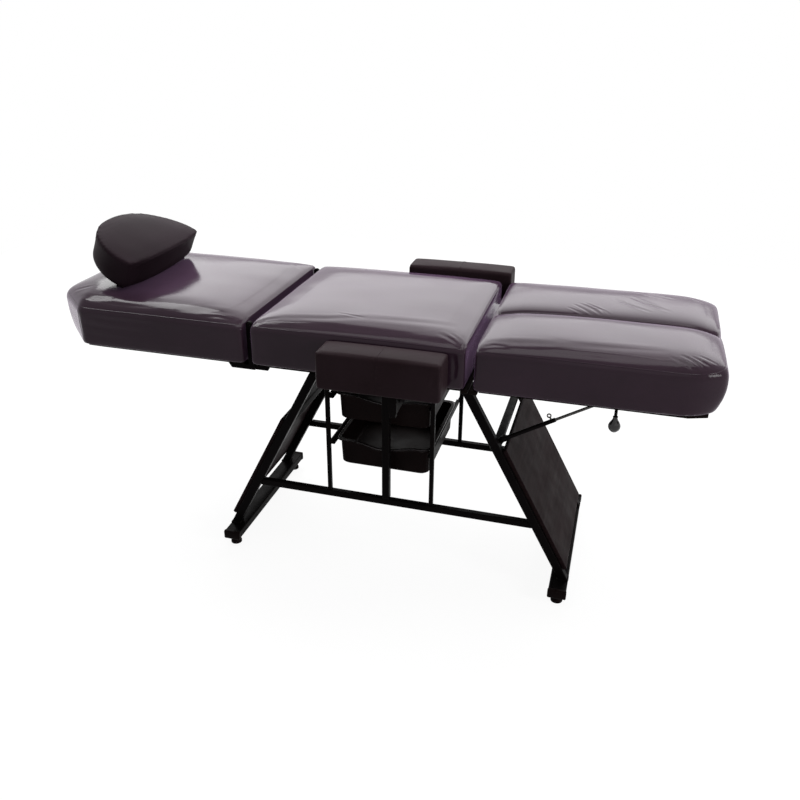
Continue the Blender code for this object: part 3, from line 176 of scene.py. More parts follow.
# Light
AMBIENT = 0.12
FLOOR_SIZE = 3.4
FLOOR_DROP = 0.0005
FLOOR_GLOW = 0.92
FLOOR_TINT = 0.14       # of what the camera sees of the floor's own colour
BED_HEIGHT = 0.78
BACKDROP_X = -0.2
BACKDROP_AWAY = 3.6     # of the soft panels behind the table
BACKDROP_WIDTH = 7.5
BACKDROP = (            # lower and upper angle in degrees, seen from the bed, and level
    ("back_low", 13, 19, 2.3),
    ("back_middle", 19, 31, 2.7),
    ("back_high", 31, 42, 2.5),
    ("back_top", 42, 58, 2.4),
)
SOFT_BOXES = (          # place, target, size, level
    ("edge_light", (-2.0, 0.76, 3.17), (-0.6, -0.29, 0.77), (1.2, 1.0), 10),
    ("corner_light", (0.98, 1.15, 3.4), (0.8, -0.29, 0.77), (1.2, 0.5), 4),
    ("overhead", (0.1, -0.2, 3.4), (0, 0, 0.6), (3.2, 0.9), 3.5),
    ("right_box", (3.6, -1.3, 1.75), (0.9, 0, 0.7), (1.0, 1.2), 12),
    ("front_fill", (1.4, -4.2, 2.6), (0, 0, 0.5), (2.4, 2.0), 0.4),
)

scene = bpy.context.scene
joints = {joint["name"]: joint for joint in frame["joints"]}


# Shader graphs

class Look:
    """One material and the helpers that build its shader graph."""

    def __init__(self, name, **constants):
        self.material = bpy.data.materials.new(name)
        self.material.use_nodes = True
        self.tree = self.material.node_tree
        self.shader = self.tree.nodes["Principled BSDF"]
        for socket, value in constants.items():
            self.shader.inputs[socket.replace("_", " ")].default_value = value
        self.place = self.node("ShaderNodeTexCoord").outputs["Object"]

    def node(self, kind, **settings):
        made = self.tree.nodes.new(kind)
        for name, value in settings.items():
            setattr(made, name, value)
        return made

    def link(self, output, target):
        self.tree.links.new(output, target)

    def stretched(self, scale):
        mapping = self.node("ShaderNodeMapping")
        mapping.inputs["Scale"].default_value = scale
        self.link(self.place, mapping.inputs["Vector"])
        return mapping.outputs["Vector"]

    def noise(self, scale, detail=2.0, stretch=None, roughness=0.5):
        made = self.node("ShaderNodeTexNoise")
        made.inputs["Scale"].default_value = scale
        made.inputs["Detail"].default_value = detail
        made.inputs["Roughness"].default_value = roughness
        self.link(self.stretched(stretch) if stretch else self.place, made.inputs["Vector"])
        return made.outputs["Fac"]

    def cells(self, scale):
        made = self.node("ShaderNodeTexVoronoi", feature="DISTANCE_TO_EDGE")
        made.inputs["Scale"].default_value = scale
        self.link(self.place, made.inputs["Vector"])
        return made.outputs["Distance"]

    def spread(self, value, low, high, start=0.3, end=0.7):
        """Maps a texture's middle range to values from low to high."""
        made = self.node("ShaderNodeMapRange")
        made.inputs["From Min"].default_value = start
        made.inputs["From Max"].default_value = end
        made.inputs["To Min"].default_value = low
        made.inputs["To Max"].default_value = high
        self.link(value, made.inputs["Value"])
        return made.outputs["Result"]

    def mixed(self, share, first, second):
        """Colour between two, which are colours or outputs."""
        made = self.node("ShaderNodeMix", data_type="RGBA")
        self.link(share, made.inputs["Factor"])
        for socket, value in ((made.inputs[6], first), (made.inputs[7], second)):
            if isinstance(value, tuple):
                socket.default_value = (*value, 1.0)
            else:
                self.link(value, socket)
        return made.outputs[2]

    def bumps(self, *layers):
        """Layers of (height, distance in metres, strength), one on the other."""
        normal = None
        for height, distance, strength in layers:
            made = self.node("ShaderNodeBump")
            made.inputs["Distance"].default_value = distance
            made.inputs["Strength"].default_value = strength
            self.link(height, made.inputs["Height"])
            if normal:
                self.link(normal, made.inputs["Normal"])
            normal = made.outputs["Normal"]
        self.link(normal, self.shader.inputs["Normal"])

    def edge_share(self, radius):
        """Share of the outer edges, 1 on them, broken up by noise: edge wear on the steel, and on the plastics
        rubbed wear with a painted highlight.
        """
        bevel = self.node("ShaderNodeBevel", samples=4)
        bevel.inputs["Radius"].default_value = radius
        facing = self.node("ShaderNodeNewGeometry")
        dot = self.node("ShaderNodeVectorMath", operation="DOT_PRODUCT")
        self.link(bevel.outputs["Normal"], dot.inputs[0])
        self.link(facing.outputs["Normal"], dot.inputs[1])
        edge = self.spread(dot.outputs["Value"], 1.0, 0.0, 0.80, 0.98)
        broken = self.node("ShaderNodeMath", operation="MULTIPLY")
        self.link(edge, broken.inputs[0])
        self.link(self.spread(self.noise(60, 4), 0.0, 1.0, 0.45, 0.60), broken.inputs[1])
        return broken.outputs["Value"]

    def colour(self, output):
        self.link(output, self.shader.inputs["Base Color"])

    def roughness(self, output):
        self.link(output, self.shader.inputs["Roughness"])


def leatherette(name, dark, light, rough, gloss, sheen=0.0):
    """Soft vinyl with a fine leather grain, faint pull lines and slightly uneven gloss."""
    look = Look(name, IOR=gloss, Sheen_Weight=sheen, Sheen_Roughness=0.35,
                Sheen_Tint=(0.84, 0.52, 0.92, 1.0))
    tone = look.spread(look.noise(4.5, 3), 0.0, 1.0)
    look.colour(look.mixed(tone, dark, light))
    look.roughness(look.spread(look.noise(9.0, 4, roughness=0.6), rough - 0.03, rough + 0.04))
    look.bumps((look.noise(14.0, 3, stretch=(0.35, 1.0, 1.0)), 0.0006, 0.15),
               (look.cells(620.0), 0.00008, 0.25),
               (look.noise(1500.0, 2), 0.00004, 0.20))
    return look.material


def painted_steel():
    """Black powder coat with a fine orange peel, dulled at the edges."""
    look = Look("painted_steel", IOR=1.07)
    edge_mark = look.edge_share(0.0022)
    tone = look.spread(look.noise(7.0, 3), 0.0, 1.0)
    base = look.mixed(tone, (0.003, 0.0024, 0.0026), (0.006, 0.0048, 0.005))
    look.colour(look.mixed(edge_mark, base, (0.030, 0.025, 0.024)))
    look.roughness(look.spread(look.noise(30.0, 3), 0.26, 0.42))
    look.bumps((look.noise(420.0, 2), 0.00012, 0.30), (look.noise(40.0, 2), 0.0003, 0.12))
    return look.material


def bright_metal():
    """Dark zinc plate of the pins and screws."""
    look = Look("zinc_plate", Metallic=1.0)
    tone = look.spread(look.noise(90.0, 4), 0.0, 1.0)
    look.colour(look.mixed(tone, (0.030, 0.029, 0.028), (0.075, 0.072, 0.070)))
    look.roughness(look.spread(look.noise(140.0, 3), 0.22, 0.42))
    look.bumps((look.noise(300.0, 3, stretch=(1.0, 1.0, 6.0)), 0.0001, 0.2))
    return look.material


def moulded_plastic(name, dark, light, rough, grain, gloss):
    """Moulded plastic with a fine spark-eroded grain, and lighter edges: partly rubbed wear, partly a painted
    highlight along the rims.
    """
    look = Look(name, IOR=gloss)
    edge_mark = look.edge_share(0.0012)
    base = look.mixed(look.spread(look.noise(11.0, 3), 0.0, 1.0), dark, light)
    # Lighter edge colour: partly rubbed wear, partly a painted highlight along the rims.
    look.colour(look.mixed(edge_mark, base, (0.13, 0.115, 0.12)))
    look.roughness(look.spread(look.noise(24.0, 3), rough - 0.06, rough + 0.08))
    look.bumps((look.noise(1300.0, 2), 0.00010, grain))
    return look.material


def dark_board(name, dark, light, rough):
    """Dark laminate or stained board with a faint grain along its length."""
    look = Look(name, IOR=1.07)
    streaks = look.noise(5.0, 5, stretch=(3.0, 1.0, 24.0), roughness=0.6)
    look.colour(look.mixed(look.spread(streaks, 0.0, 1.0), dark, light))
    look.roughness(look.spread(look.noise(16.0, 4), rough - 0.07, rough + 0.09))
    look.bumps((look.noise(8.0, 4, stretch=(3.0, 1.0, 30.0)), 0.0004, 0.25),
               (look.noise(700.0, 2), 0.0001, 0.15))
    return look.material


# Mesh helpers

def added(name, mesh, material, smooth=True):
    """Makes an object of a bmesh, which is freed."""
    data = bpy.data.meshes.new(name)
    mesh.to_mesh(data)
    mesh.free()
    if smooth:
        data.shade_smooth()
        data.set_sharp_from_angle(angle=math.radians(38))
    data.materials.append(material)
    obj = bpy.data.objects.new(name, data)
    scene.collection.objects.link(obj)
    return obj


def settled(obj):
    """Replaces an object's mesh by what its modifiers make of it."""
    graph = bpy.context.evaluated_depsgraph_get()
    made = bpy.data.meshes.new_from_object(obj.evaluated_get(graph))
    old = obj.data
    obj.modifiers.clear()
    obj.data = made
    bpy.data.meshes.remove(old)
    return obj


def points_of(mesh):
    flat = np.empty(len(mesh.vertices) * 3, np.float32)
    mesh.vertices.foreach_get("co", flat)
    return flat.reshape(-1, 3).astype(float)


def normals_of(mesh):
    flat = np.empty(len(mesh.vertices) * 3, np.float32)
    mesh.vertex_normals.foreach_get("vector", flat)
    return flat.reshape(-1, 3).astype(float)


def set_points(mesh, points):
    mesh.vertices.foreach_set("co", points.astype(np.float32).ravel())
    mesh.update()


def subdivided(obj, levels=1):
    modifier = obj.modifiers.new("soft", "SUBSURF")
    modifier.levels = levels
    modifier.render_levels = levels
    return settled(obj)


# Padded pieces

def cage(name, cuts, shape, material):
    """Soft form: a cube cut into a coarse cage, shaped point by point and subdivided."""
    mesh = bmesh.new()
    bmesh.ops.create_cube(mesh, size=2.0)
    for axis, places in enumerate(cuts):
        for place in places:
            on_plane = Vector((0, 0, 0))
            on_plane[axis] = place
            normal = Vector((0, 0, 0))
            normal[axis] = 1
            geometry = mesh.verts[:] + mesh.edges[:] + mesh.faces[:]
            bmesh.ops.bisect_plane(mesh, geom=geometry, plane_co=on_plane, plane_no=normal, dist=1e-6)
    for vert in mesh.verts:
        vert.co = shape(*vert.co)
    bmesh.ops.recalc_face_normals(mesh, faces=mesh.faces)
    obj = added(name, mesh, material, smooth=False)
    subdivided(obj, 3)
    remesh = obj.modifiers.new("even", "REMESH")
    remesh.mode = "VOXEL"
    remesh.voxel_size = VOXEL
    return settled(obj)


def evened(mesh, values, rounds):
    """Averages values over neighbouring points, a number of times."""
    ends = np.empty(len(mesh.edges) * 2, np.int32)
    mesh.edges.foreach_get("vertices", ends)
    first, second = ends.reshape(-1, 2).T
    near = np.bincount(ends, minlength=len(values)) + 1
    for _ in range(rounds):
        total = values.copy()
        for axis in range(values.shape[1]):
            total[:, axis] += np.bincount(first, values[second, axis], len(values))
            total[:, axis] += np.bincount(second, values[first, axis], len(values))
        values = total / near[:, None]
    return values


def pressed(obj, held):
    """Plumps the pad by cloth pressure, held where the mask says, and evens and caps how far it swells."""
    drawn = points_of(obj.data)
    normals = normals_of(obj.data)
    start = drawn - SWELL_START * normals * (1 - held)[:, None]
    set_points(obj.data, start)
    pins = obj.vertex_groups.new(name="held")
    for index in np.nonzero(held > 0.01)[0]:
        pins.add([int(index)], float(held[index]), "REPLACE")
    cloth = obj.modifiers.new("padding", "CLOTH")
    cloth.settings.quality = 4
    cloth.settings.mass = 0.3
    cloth.settings.tension_stiffness = 12
    cloth.settings.compression_stiffness = 12
    cloth.settings.bending_stiffness = 0.4
    cloth.settings.use_pressure = True
    cloth.settings.uniform_pressure_force = 4.0
    cloth.settings.vertex_group_mass = pins.name
    cloth.settings.effector_weights.gravity = 0.0
    cloth.point_cache.frame_start = 1
    cloth.point_cache.frame_end = SIM_FRAMES
    for step in range(1, SIM_FRAMES + 1):
        scene.frame_set(step)
    settled(obj)
    scene.frame_set(1)
    obj.vertex_groups.clear()
    swell = ((points_of(obj.data) - drawn) * normals).sum(axis=1, keepdims=True)
    swell = evened(obj.data, np.clip(swell, 0, SWELL_CAP), SMOOTHING_ROUNDS)
    set_points(obj.data, drawn + normals * swell * (1 - held)[:, None])
    return obj


def folded(points, fold):
    """How far each point moves along its normal for one fold: (places, half-width, depth)."""
    places, width, depth = fold
    width = width * FOLD_SPREAD
    depth = depth * FOLD_SOFTNESS
    places = [points[np.argmin(((points - place) ** 2).sum(axis=1))] for place in places]
    lengths = [np.linalg.norm(b - a) for a, b in zip(places, places[1:])]
    total = sum(lengths)
    nearest = np.full(len(points), 1e9)
    along = np.zeros(len(points))
    passed = 0.0
    for a, b, length in zip(places, places[1:], lengths):
        share = np.clip((points - a) @ (b - a) / length ** 2, 0, 1)
        away = np.linalg.norm(points - a - share[:, None] * (b - a), axis=1)
        closer = away < nearest
        nearest = np.where(closer, away, nearest)
        along = np.where(closer, (passed + share * length) / total, along)
        passed += length
    fade = np.sin(np.pi * np.clip(along, 0.0, 1.0)) ** FADE_POWER
    valley = np.exp(-(nearest / width) ** 2)
    ridges = np.exp(-((nearest - RIDGE_AWAY * width) / width) ** 2)
    return depth * fade * (RIDGE_SHARE * ridges - valley)


def waves(points, scale, stretch, seed):
    """Smooth noise from -1 to 1 at each point."""
    moved = points * np.array(stretch) * scale + seed
    return np.array([noise.noise(Vector(place)) for place in moved])


def dressed(obj, folds, swing, flat_base=True):
    """Adds one subdivision, uneven padding and the folds to a pad, and shades it smooth.

    With a flat base, nothing moves where the pad rests on its board.
    """
    subdivided(obj)
    points = points_of(obj.data)
    normals = normals_of(obj.data)
    move = swing * waves(points, 7.0, (1.0, 1.6, 1.0), 3.7)
    for fold in folds:
        move = move + folded(points, fold)
    if flat_base:
        heights = points[:, 2] - points[:, 2].min()
        move = move * np.clip((heights - FLAT_BASE) / FLAT_BASE_FADE, 0, 1)
    set_points(obj.data, points + normals * move[:, None])
    obj.data.shade_smooth()
    return obj


def section_shape(x_range, top, outline=None, free_end=0):
    """Shape of a section: crowned top, rolled top edge, sides drawn in between the corners.

    free_end is the sign of the end that hangs free: it bows out at its middle and is cut under below.
    """
    middle = sum(x_range) / 2
    half = (x_range[1] - x_range[0]) / 2

    def shape(u, v, w):
        x = middle + half * u
        width = outline(x) if outline else HALF_WIDTH
        draw = SIDE_DRAW * (1 - abs(w)) * (1 - u ** 6)
        y = v * (width - draw * abs(v))
        x -= math.copysign(SIDE_DRAW * (1 - abs(w)) * (1 - v ** 6) * abs(u) ** 4, u)
        z = CUSHION_BASE + (CUSHION_TOP - CUSHION_BASE) * (w + 1) / 2
        if w > FACE_FROM:
            crown = top[0] * (1 - u ** END_POWER) * (1 - v ** SIDE_POWER)
            z += crown - top[1] * max(0.0, -v) ** NEAR_FALL_POWER
        if free_end > 0 and u > FACE_FROM:
            x += END_BOW * (1 - w * w)
        if free_end * u > 0.5:
            x -= free_end * END_UNDERCUT * (free_end * u * 2 - 1) * max(0.0, -0.1 - w) / 0.9
        return Vector((x, y, z))

    return shape


def back_half_width(x):
    """The backrest's head corners are cut, so it narrows towards its head end."""
    share = max(0.0, (BACK_X[0] + BACK_CORNER_LENGTH - x) / BACK_CORNER_LENGTH)
    return HALF_WIDTH - BACK_CORNER_WIDTH * share


def leg_rest_half_width(x):
    """The leg rest's foot corners are rounded."""
    share = max(0.0, (x - LEG_REST_X[1] + LEG_REST_CORNER) / LEG_REST_CORNER)
    return HALF_WIDTH - LEG_REST_CORNER_WIDTH * share ** 2


def edge_cuts(half, edge, between, other_edge=None):
    """Cuts from -1 to 1: one near each rolled edge, and the ones between, spread over the rest."""
    near = 1 - edge / half
    other = 1 - (other_edge or edge) / half
    return [-near] + [near * place for place in between] + [other]


WIDTH_CUTS = edge_cuts(HALF_WIDTH, EDGE, (-0.85, -0.5, 0, 0.5))
HEIGHT_CUTS = [-0.85, -0.2, 1 - 2 * EDGE / (CUSHION_TOP - CUSHION_BASE)]


def at_base(heights, low, hold):
    """1 where a pad rests on its board, and 0 above."""
    held, fade = hold
    return np.clip((low + held - heights) / fade, 0, 1)


def padding(obj, folds):
    heights = points_of(obj.data)[:, 2]
    pressed(obj, at_base(heights, heights.min(), SECTION_HOLD))
    return dressed(obj, folds, PAD_SWING)


def channelled(obj):
    """Draws the leg rest's cover down into a sewn channel along its middle and down its free end."""
    points = points_of(obj.data)
    normals = normals_of(obj.data)
    depth = sum(deep * np.exp(-abs(points[:, 1]) / wide) for deep, wide in CHANNEL)
    upper = np.clip(1.6 * normals[:, 2] - 0.3, 0, 1)
    over_base = np.clip((points[:, 2] - CUSHION_BASE - 0.01) / 0.04, 0, 1)
    end = CHANNEL_END_SHARE * np.clip(1.6 * normals[:, 0] - 0.3, 0, 1) * over_base
    set_points(obj.data, points - normals * (depth * np.maximum(upper, end))[:, None])
    obj.data.shade_smooth()
    return obj


def on_top(top, place):
    """A place on a section's top, from its x and y. A place that has its height keeps it."""
    if len(place) == 3:
        return place
    v = place[1] / HALF_WIDTH
    return (*place, CUSHION_TOP + top[0] * (1 - v ** SIDE_POWER) - top[1] * max(0.0, -v) ** NEAR_FALL_POWER)


def laid(top, *folds):
    """Folds on a section: each has its width, its depth and then its places."""
    return [([on_top(top, place) for place in places], width, depth) for width, depth, *places in folds]


def seat_piece(material):
    half = (SEAT_X[1] - SEAT_X[0]) / 2
    along = edge_cuts(half, HINGED_EDGE, (-0.5, 0, 0.5))
    obj = cage("seat_upholstery", (along, WIDTH_CUTS, HEIGHT_CUTS), section_shape(SEAT_X, SEAT_TOP), material)
    near = -HALF_WIDTH
    folds = laid(
        SEAT_TOP,
        (0.007, 0.0011, (-0.249, -0.247), (-0.084, -0.228), (0.03, -0.200)),
        (0.008, 0.0012, (-0.202, -0.272), (-0.055, -0.266), (0.156, -0.262)),
        (0.009, 0.0009, (-0.030, -0.205), (0.120, -0.195), (0.270, -0.176)),
        (0.003, 0.0009, (-0.061, -0.186), (-0.015, -0.196), (0.022, -0.199)),
        (0.0045, 0.0016, (0.232, -0.236), (0.276, -0.256), (0.302, -0.276)),
        (0.0035, 0.0012, (0.262, -0.226), (0.292, -0.250), (0.304, -0.272)),
        (0.0035, 0.0016, (0.303, near + 0.006, 0.752), (0.308, near + 0.004, 0.712),
         (0.306, near + 0.002, 0.668)),
        (0.0050, 0.0012, (0.286, near, 0.748), (0.292, near, 0.708), (0.288, near, 0.672)),
        (0.0040, 0.0013, (-0.273, near + 0.004, 0.748), (-0.276, near + 0.003, 0.706),
         (-0.272, near + 0.002, 0.668)),
        (0.0045, 0.0012, (-0.268, -0.270), (-0.240, -0.252), (-0.205, -0.243)),
        *[(0.0045, 0.0007, (x, 0.268), (x + 0.012, 0.236)) for x in (-0.22, -0.11, 0.02, 0.13, 0.24)],
    )
    return padding(obj, folds)


def backrest_piece(material):
    half = (BACK_X[1] - BACK_X[0]) / 2
    corner = BACK_CORNER_LENGTH / half - 1
    turn = BACK_CORNER_ROUND / half
    along = edge_cuts(half, EDGE, (0, 0.5), HINGED_EDGE)
    along[1:1] = [corner - turn, corner, corner + turn]
    obj = cage("backrest_upholstery", (along, WIDTH_CUTS, HEIGHT_CUTS),
               section_shape(BACK_X, BACK_TOP, back_half_width, -1), material)
    near = -HALF_WIDTH
    folds = laid(
        BACK_TOP,
        (0.0060, 0.0014, (-0.835, -0.236), (-0.790, -0.252), (-0.720, -0.250)),
        (0.0060, 0.0012, (-0.800, -0.262), (-0.690, -0.266), (-0.560, -0.262)),
        (0.0080, 0.0013, (-0.520, -0.262), (-0.440, -0.252), (-0.335, -0.248)),
        (0.0045, 0.0013, (-0.440, -0.274), (-0.380, -0.268), (-0.322, -0.272)),
        (0.0060, 0.0014, (-0.800, near + 0.004, 0.738), (-0.700, near, 0.729), (-0.560, near, 0.733)),
        (0.0070, 0.0012, (-0.812, near + 0.004, 0.708), (-0.720, near, 0.702), (-0.610, near, 0.706)),
        (0.0060, 0.0009, (-0.806, near + 0.006, 0.682), (-0.740, near, 0.678), (-0.660, near, 0.680)),
        (0.0040, 0.0014, (-0.812, near + 0.012, 0.752), (-0.820, near + 0.012, 0.712),
         (-0.816, near + 0.012, 0.670)),
        (0.0050, 0.0012, (-0.900, -0.196), (-0.872, -0.190), (-0.830, -0.176)),
        (0.0050, 0.0009, (-0.330, 0.205), (-0.350, 0.235), (-0.352, 0.262)),
    )
    return padding(obj, folds)


def leg_rest_piece(material):
    half = (LEG_REST_X[1] - LEG_REST_X[0]) / 2
    along = edge_cuts(half, HINGED_EDGE, (-0.5, 0, 0.5, 0.8), EDGE)
    obj = cage("leg_rest_upholstery", (along, WIDTH_CUTS, HEIGHT_CUTS),
               section_shape(LEG_REST_X, LEG_REST_TOP, leg_rest_half_width, 1), material)
    folds = laid(
        LEG_REST_TOP,
        (0.0026, 0.0013, (0.530, 0.045), (0.556, 0.026), (0.580, 0.010)),
        (0.0026, 0.0016, (0.547, 0.070), (0.580, 0.036), (0.604, 0.010)),
        (0.0028, 0.0017, (0.560, 0.082), (0.600, 0.046), (0.626, 0.012)),
        (0.0024, 0.0015, (0.580, 0.086), (0.620, 0.046), (0.640, 0.014)),
        (0.0024, 0.0012, (0.601, 0.070), (0.632, 0.040), (0.652, 0.016)),
        (0.0036, 0.0011, (0.657, 0.141), (0.700, 0.098), (0.756, 0.058)),
        (0.0040, 0.0012, (0.695, 0.176), (0.740, 0.126), (0.808, 0.074)),
        (0.0045, 0.0011, (0.669, 0.252), (0.740, 0.224), (0.820, 0.190)),
        (0.0042, 0.0012, (0.800, 0.262), (0.860, 0.236), (0.907, 0.200)),
        (0.0036, 0.0009, (0.740, 0.266), (0.800, 0.246), (0.866, 0.216)),
        (0.0030, 0.0016, (0.826, -0.226), (0.856, -0.246), (0.880, -0.268)),
        (0.0028, 0.0015, (0.850, -0.226), (0.876, -0.242), (0.900, -0.256)),
        (0.0026, 0.0013, (0.868, -0.216), (0.892, -0.226), (0.918, -0.236)),
        (0.0030, 0.0012, (0.800, -0.240), (0.832, -0.258), (0.860, -0.276)),
        (0.0080, 0.0013, (0.359, -0.252), (0.440, -0.244), (0.533, -0.242)),
        (0.0070, 0.0012, (0.392, -0.274), (0.508, -0.270), (0.640, -0.266), (0.780, -0.270)),
        (0.0080, 0.0009, (0.560, -0.236), (0.680, -0.226), (0.800, -0.216)),
        (0.0040, 0.0012, (0.352, -0.268), (0.380, -0.262), (0.420, -0.262)),
    )
    return channelled(padding(obj, folds))


def armrest_piece(side_name, material):
    """Box-shaped pad with a seam round its middle."""
    low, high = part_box(f"armrest_pad_{side_name}")
    middle = (low + high) / 2
    base = low.z
    side = math.copysign(1.0, middle.y)
    half = Vector((ARM_LENGTH / 2, ARM_WIDTH / 2, ARM_HEIGHT / 2))

    def shape(u, v, w):
        draw = SIDE_DRAW * 0.5 * (1 - w ** 4)
        x = middle.x + u * (half.x - draw * (1 - v ** 4))
        y = middle.y + v * (half.y - draw * (1 - u ** 4))
        z = base + half.z + w * half.z
        if w > FACE_FROM:
            z += ARM_CROWN * (1 - u ** 4) * (1 - v ** 4)
        return Vector((x, y, z))

    cuts = [edge_cuts(size, ARM_EDGE, (0,)) for size in half]
    obj = cage(f"armrest_upholstery_{side_name}", cuts, shape, material)
    top = base + ARM_HEIGHT
    front = middle.y + side * half.y
    back = middle.y - side * half.y
    seam_x = middle.x + ARM_SEAM_SHIFT
    seam = [(seam_x, front, base - 0.01), (seam_x, front, top),
            (seam_x, back, top), (seam_x, back, base - 0.01)]
    folds = [(seam, 0.0016, 0.0018)]
    for end in (-1, 1):
        corner = [(middle.x + end * (half.x - inset), front, z)
                  for inset, z in ((0.004, base + 0.016), (0.02, base + 0.05), (0.012, top - 0.008))]
        folds.append((corner, 0.004, 0.0010))
    for end in (-1, 1):
        beside_seam = [(seam_x + end * away, front, base + height)
                       for away, height in ((0.006, 0.03), (0.035, 0.036), (0.07, 0.034))]
        folds.append((beside_seam, 0.004, 0.0007))
    return padding(obj, folds)


def pillow_half_width(u):
    """Half-width of the pillow at a place along it, from -1 at its head end to 1."""
    share = (1 - u) / 2
    return PILLOW_WIDTH / 2 * (1 - share) + PILLOW_HEAD_WIDTH / 2 * share + PILLOW_SIDE_BOW * (1 - u * u)


def pillow_turn():
    """From the pillow's own axes to the table's."""
    return Matrix.Translation(joints["pillow_tilt"]["pos_m"]) @ Matrix.Rotation(PILLOW_TILT, 4, "Y")


def pillow_piece(material):
    turn = pillow_turn()

    def shape(u, v, w):
        draw = SIDE_DRAW * (1 - w * w)
        x = PILLOW_MIDDLE + u * (PILLOW_DEPTH / 2 - draw * (1 - v ** 4))
        if u < 0:
            x -= PILLOW_HEAD_BOW * (1 - v * v)
        blunt = PILLOW_CORNER * (u * v) ** 6
        if w < -FACE_FROM:
            blunt += PILLOW_UNDERSIDE
        z = PILLOW_LOW + PILLOW_THICKNESS * (w + 1) / 2
        if w > FACE_FROM:
            z += PILLOW_CROWN * (1 - u ** 4) * (1 - v ** 4)
        return turn @ Vector((x - u * blunt, v * (pillow_half_width(u) - draw - blunt), z))

    cuts = (edge_cuts(PILLOW_DEPTH / 2, PILLOW_EDGE, (0,)),
            edge_cuts(PILLOW_WIDTH / 2, PILLOW_EDGE, (-0.4, 0.4)),
            edge_cuts(PILLOW_THICKNESS / 2, PILLOW_EDGE, (0,)))
    obj = cage("pillow_upholstery", cuts, shape, material)
    spin = turn.to_3x3()
    own = points_of(obj.data) @ np.array(spin) - np.array(spin.inverted() @ turn.translation)
    pressed(obj, at_base(own[:, 2], PILLOW_LOW, PILLOW_HOLD))
    return dressed(obj, [], PILLOW_SWING, flat_base=False)


# Seams and small fittings

def joined(mesh, rings):
    """Adds the faces between rings of points, each with the next, and turns them all outward."""
    for ring, following in zip(rings, rings[1:]):
        for step in range(len(ring)):
            beside = (step + 1) % len(ring)
            mesh.faces.new((ring[step], ring[beside], following[beside], following[step]))
    bmesh.ops.recalc_face_normals(mesh, faces=mesh.faces)


def tube(name, path, radius, material, sides=8, across=Vector((0, 0, 1))):
    """Closed round cord along a path in a plane that lies mostly across a direction."""
    mesh = bmesh.new()
    count = len(path)
    rings = []
    for index, place in enumerate(path):
        tangent = (path[(index + 1) % count] - path[index - 1]).normalized()
        side = tangent.cross(across).normalized()
        rise = side.cross(tangent)
        turns = [2 * math.pi * step / sides for step in range(sides)]
        ring = [place + radius * (math.cos(a) * side + math.sin(a) * rise) for a in turns]
        rings.append([mesh.verts.new(point) for point in ring])
    joined(mesh, rings + rings[:1])
    return added(name, mesh, material)


def turned(name, profile, place, axis, material, sides=20):
    """Turned part: a profile of (distance along the axis, radius), spun about it."""
    mesh = bmesh.new()
    turn = Vector(axis).to_track_quat("Z", "Y")
    rings = []
    for distance, radius in profile:
        turns = [2 * math.pi * step / sides for step in range(sides)]
        ring = [Vector((radius * math.cos(a), radius * math.sin(a), distance)) for a in turns]
        rings.append([mesh.verts.new(Vector(place) + turn @ point) for point in ring])
    mesh.faces.new(rings[0])
    mesh.faces.new(rings[-1])
    joined(mesh, rings)
    return added(name, mesh, material)


def rounded_block(name, low, high, bevel, material):
    """Block between two corners, with rounded edges."""
    mesh = bmesh.new()
    bmesh.ops.create_cube(mesh, size=1.0)
    for vert in mesh.verts:
        vert.co = Vector([a + (b - a) * (share + 0.5) for a, b, share in zip(low, high, vert.co)])
    bmesh.ops.bevel(mesh, geom=mesh.edges[:], offset=bevel, segments=3, profile=0.5, affect="EDGES")
    return added(name, mesh, material)


def rounded_off(path, rounds):
    """Averages a closed path's places with their neighbours."""
    for _ in range(rounds):
        following = path[1:] + path[:1]
        path = [(path[i - 1] + 2 * path[i] + following[i]) / 4 for i in range(len(path))]
    return path


def surface(obj):
    """An object's faces, to cast rays at."""
    return BVHTree.FromPolygons([vert.co for vert in obj.data.vertices],
                                [face.vertices for face in obj.data.polygons])


def belted(obj, x, material):
    """Lays a fine cord round a pad, partly sunk, in the plane across X."""
    tree = surface(obj)
    points = points_of(obj.data)
    middle = Vector(((points.min(axis=0) + points.max(axis=0)) / 2).tolist())
    middle.x = x
    path = []
    for step in range(BELT_STEPS):
        angle = 2 * math.pi * step / BELT_STEPS
        out = Vector((0, math.cos(angle), math.sin(angle)))
        hit, normal, _, _ = tree.ray_cast(middle + BELT_REACH * out, -out)
        path.append(hit - SEAM_SINK * SEAM_RADIUS * normal)
    return tube(f"{obj.name}_seam", path, SEAM_RADIUS, material, across=Vector((1, 0, 0)))


def seamed(obj, outline, material, turn=Matrix(), lean=1.0, radius=SEAM_RADIUS):
    """Lays a fine cord, partly sunk, where rays that lean in over an outline meet a piece."""
    tree = surface(obj)
    even = []
    carried = 0.0
    for a, b in zip(outline, outline[1:] + outline[:1]):
        while carried <= (b - a).length:
            even.append(a.lerp(b, carried / (b - a).length))
            carried += SEAM_SPACING
        carried -= (b - a).length
    path = []
    even = rounded_off(even, OUTLINE_ROUNDS)
    count = len(even)
    for index, place in enumerate(even):
        tangent = (even[(index + 2) % count] - even[index - 2]).normalized()
        out = tangent.cross(Vector((0, 0, 1)))
        slant = turn.to_3x3() @ (lean * out + Vector((0, 0, 1)))
        hit, normal, _, _ = tree.ray_cast(turn @ place + SEAM_REACH * slant, -slant)
        path.append(hit - SEAM_SINK * radius * normal)
    return tube(f"{obj.name}_seam", rounded_off(path, CORD_ROUNDS), radius, material)


def mirrored(near):
    """Closed outline from its near half."""
    return near + [Vector((place.x, -place.y, place.z)) for place in reversed(near)]


def pillow_outline():
    """Outline of the pillow's top, in its own axes."""
    steps = [-1 + 2 * step / 30 for step in range(31)]
    return mirrored([Vector((PILLOW_MIDDLE + u * PILLOW_DEPTH / 2, -pillow_half_width(u),
                             PILLOW_LOW + PILLOW_THICKNESS)) for u in steps])


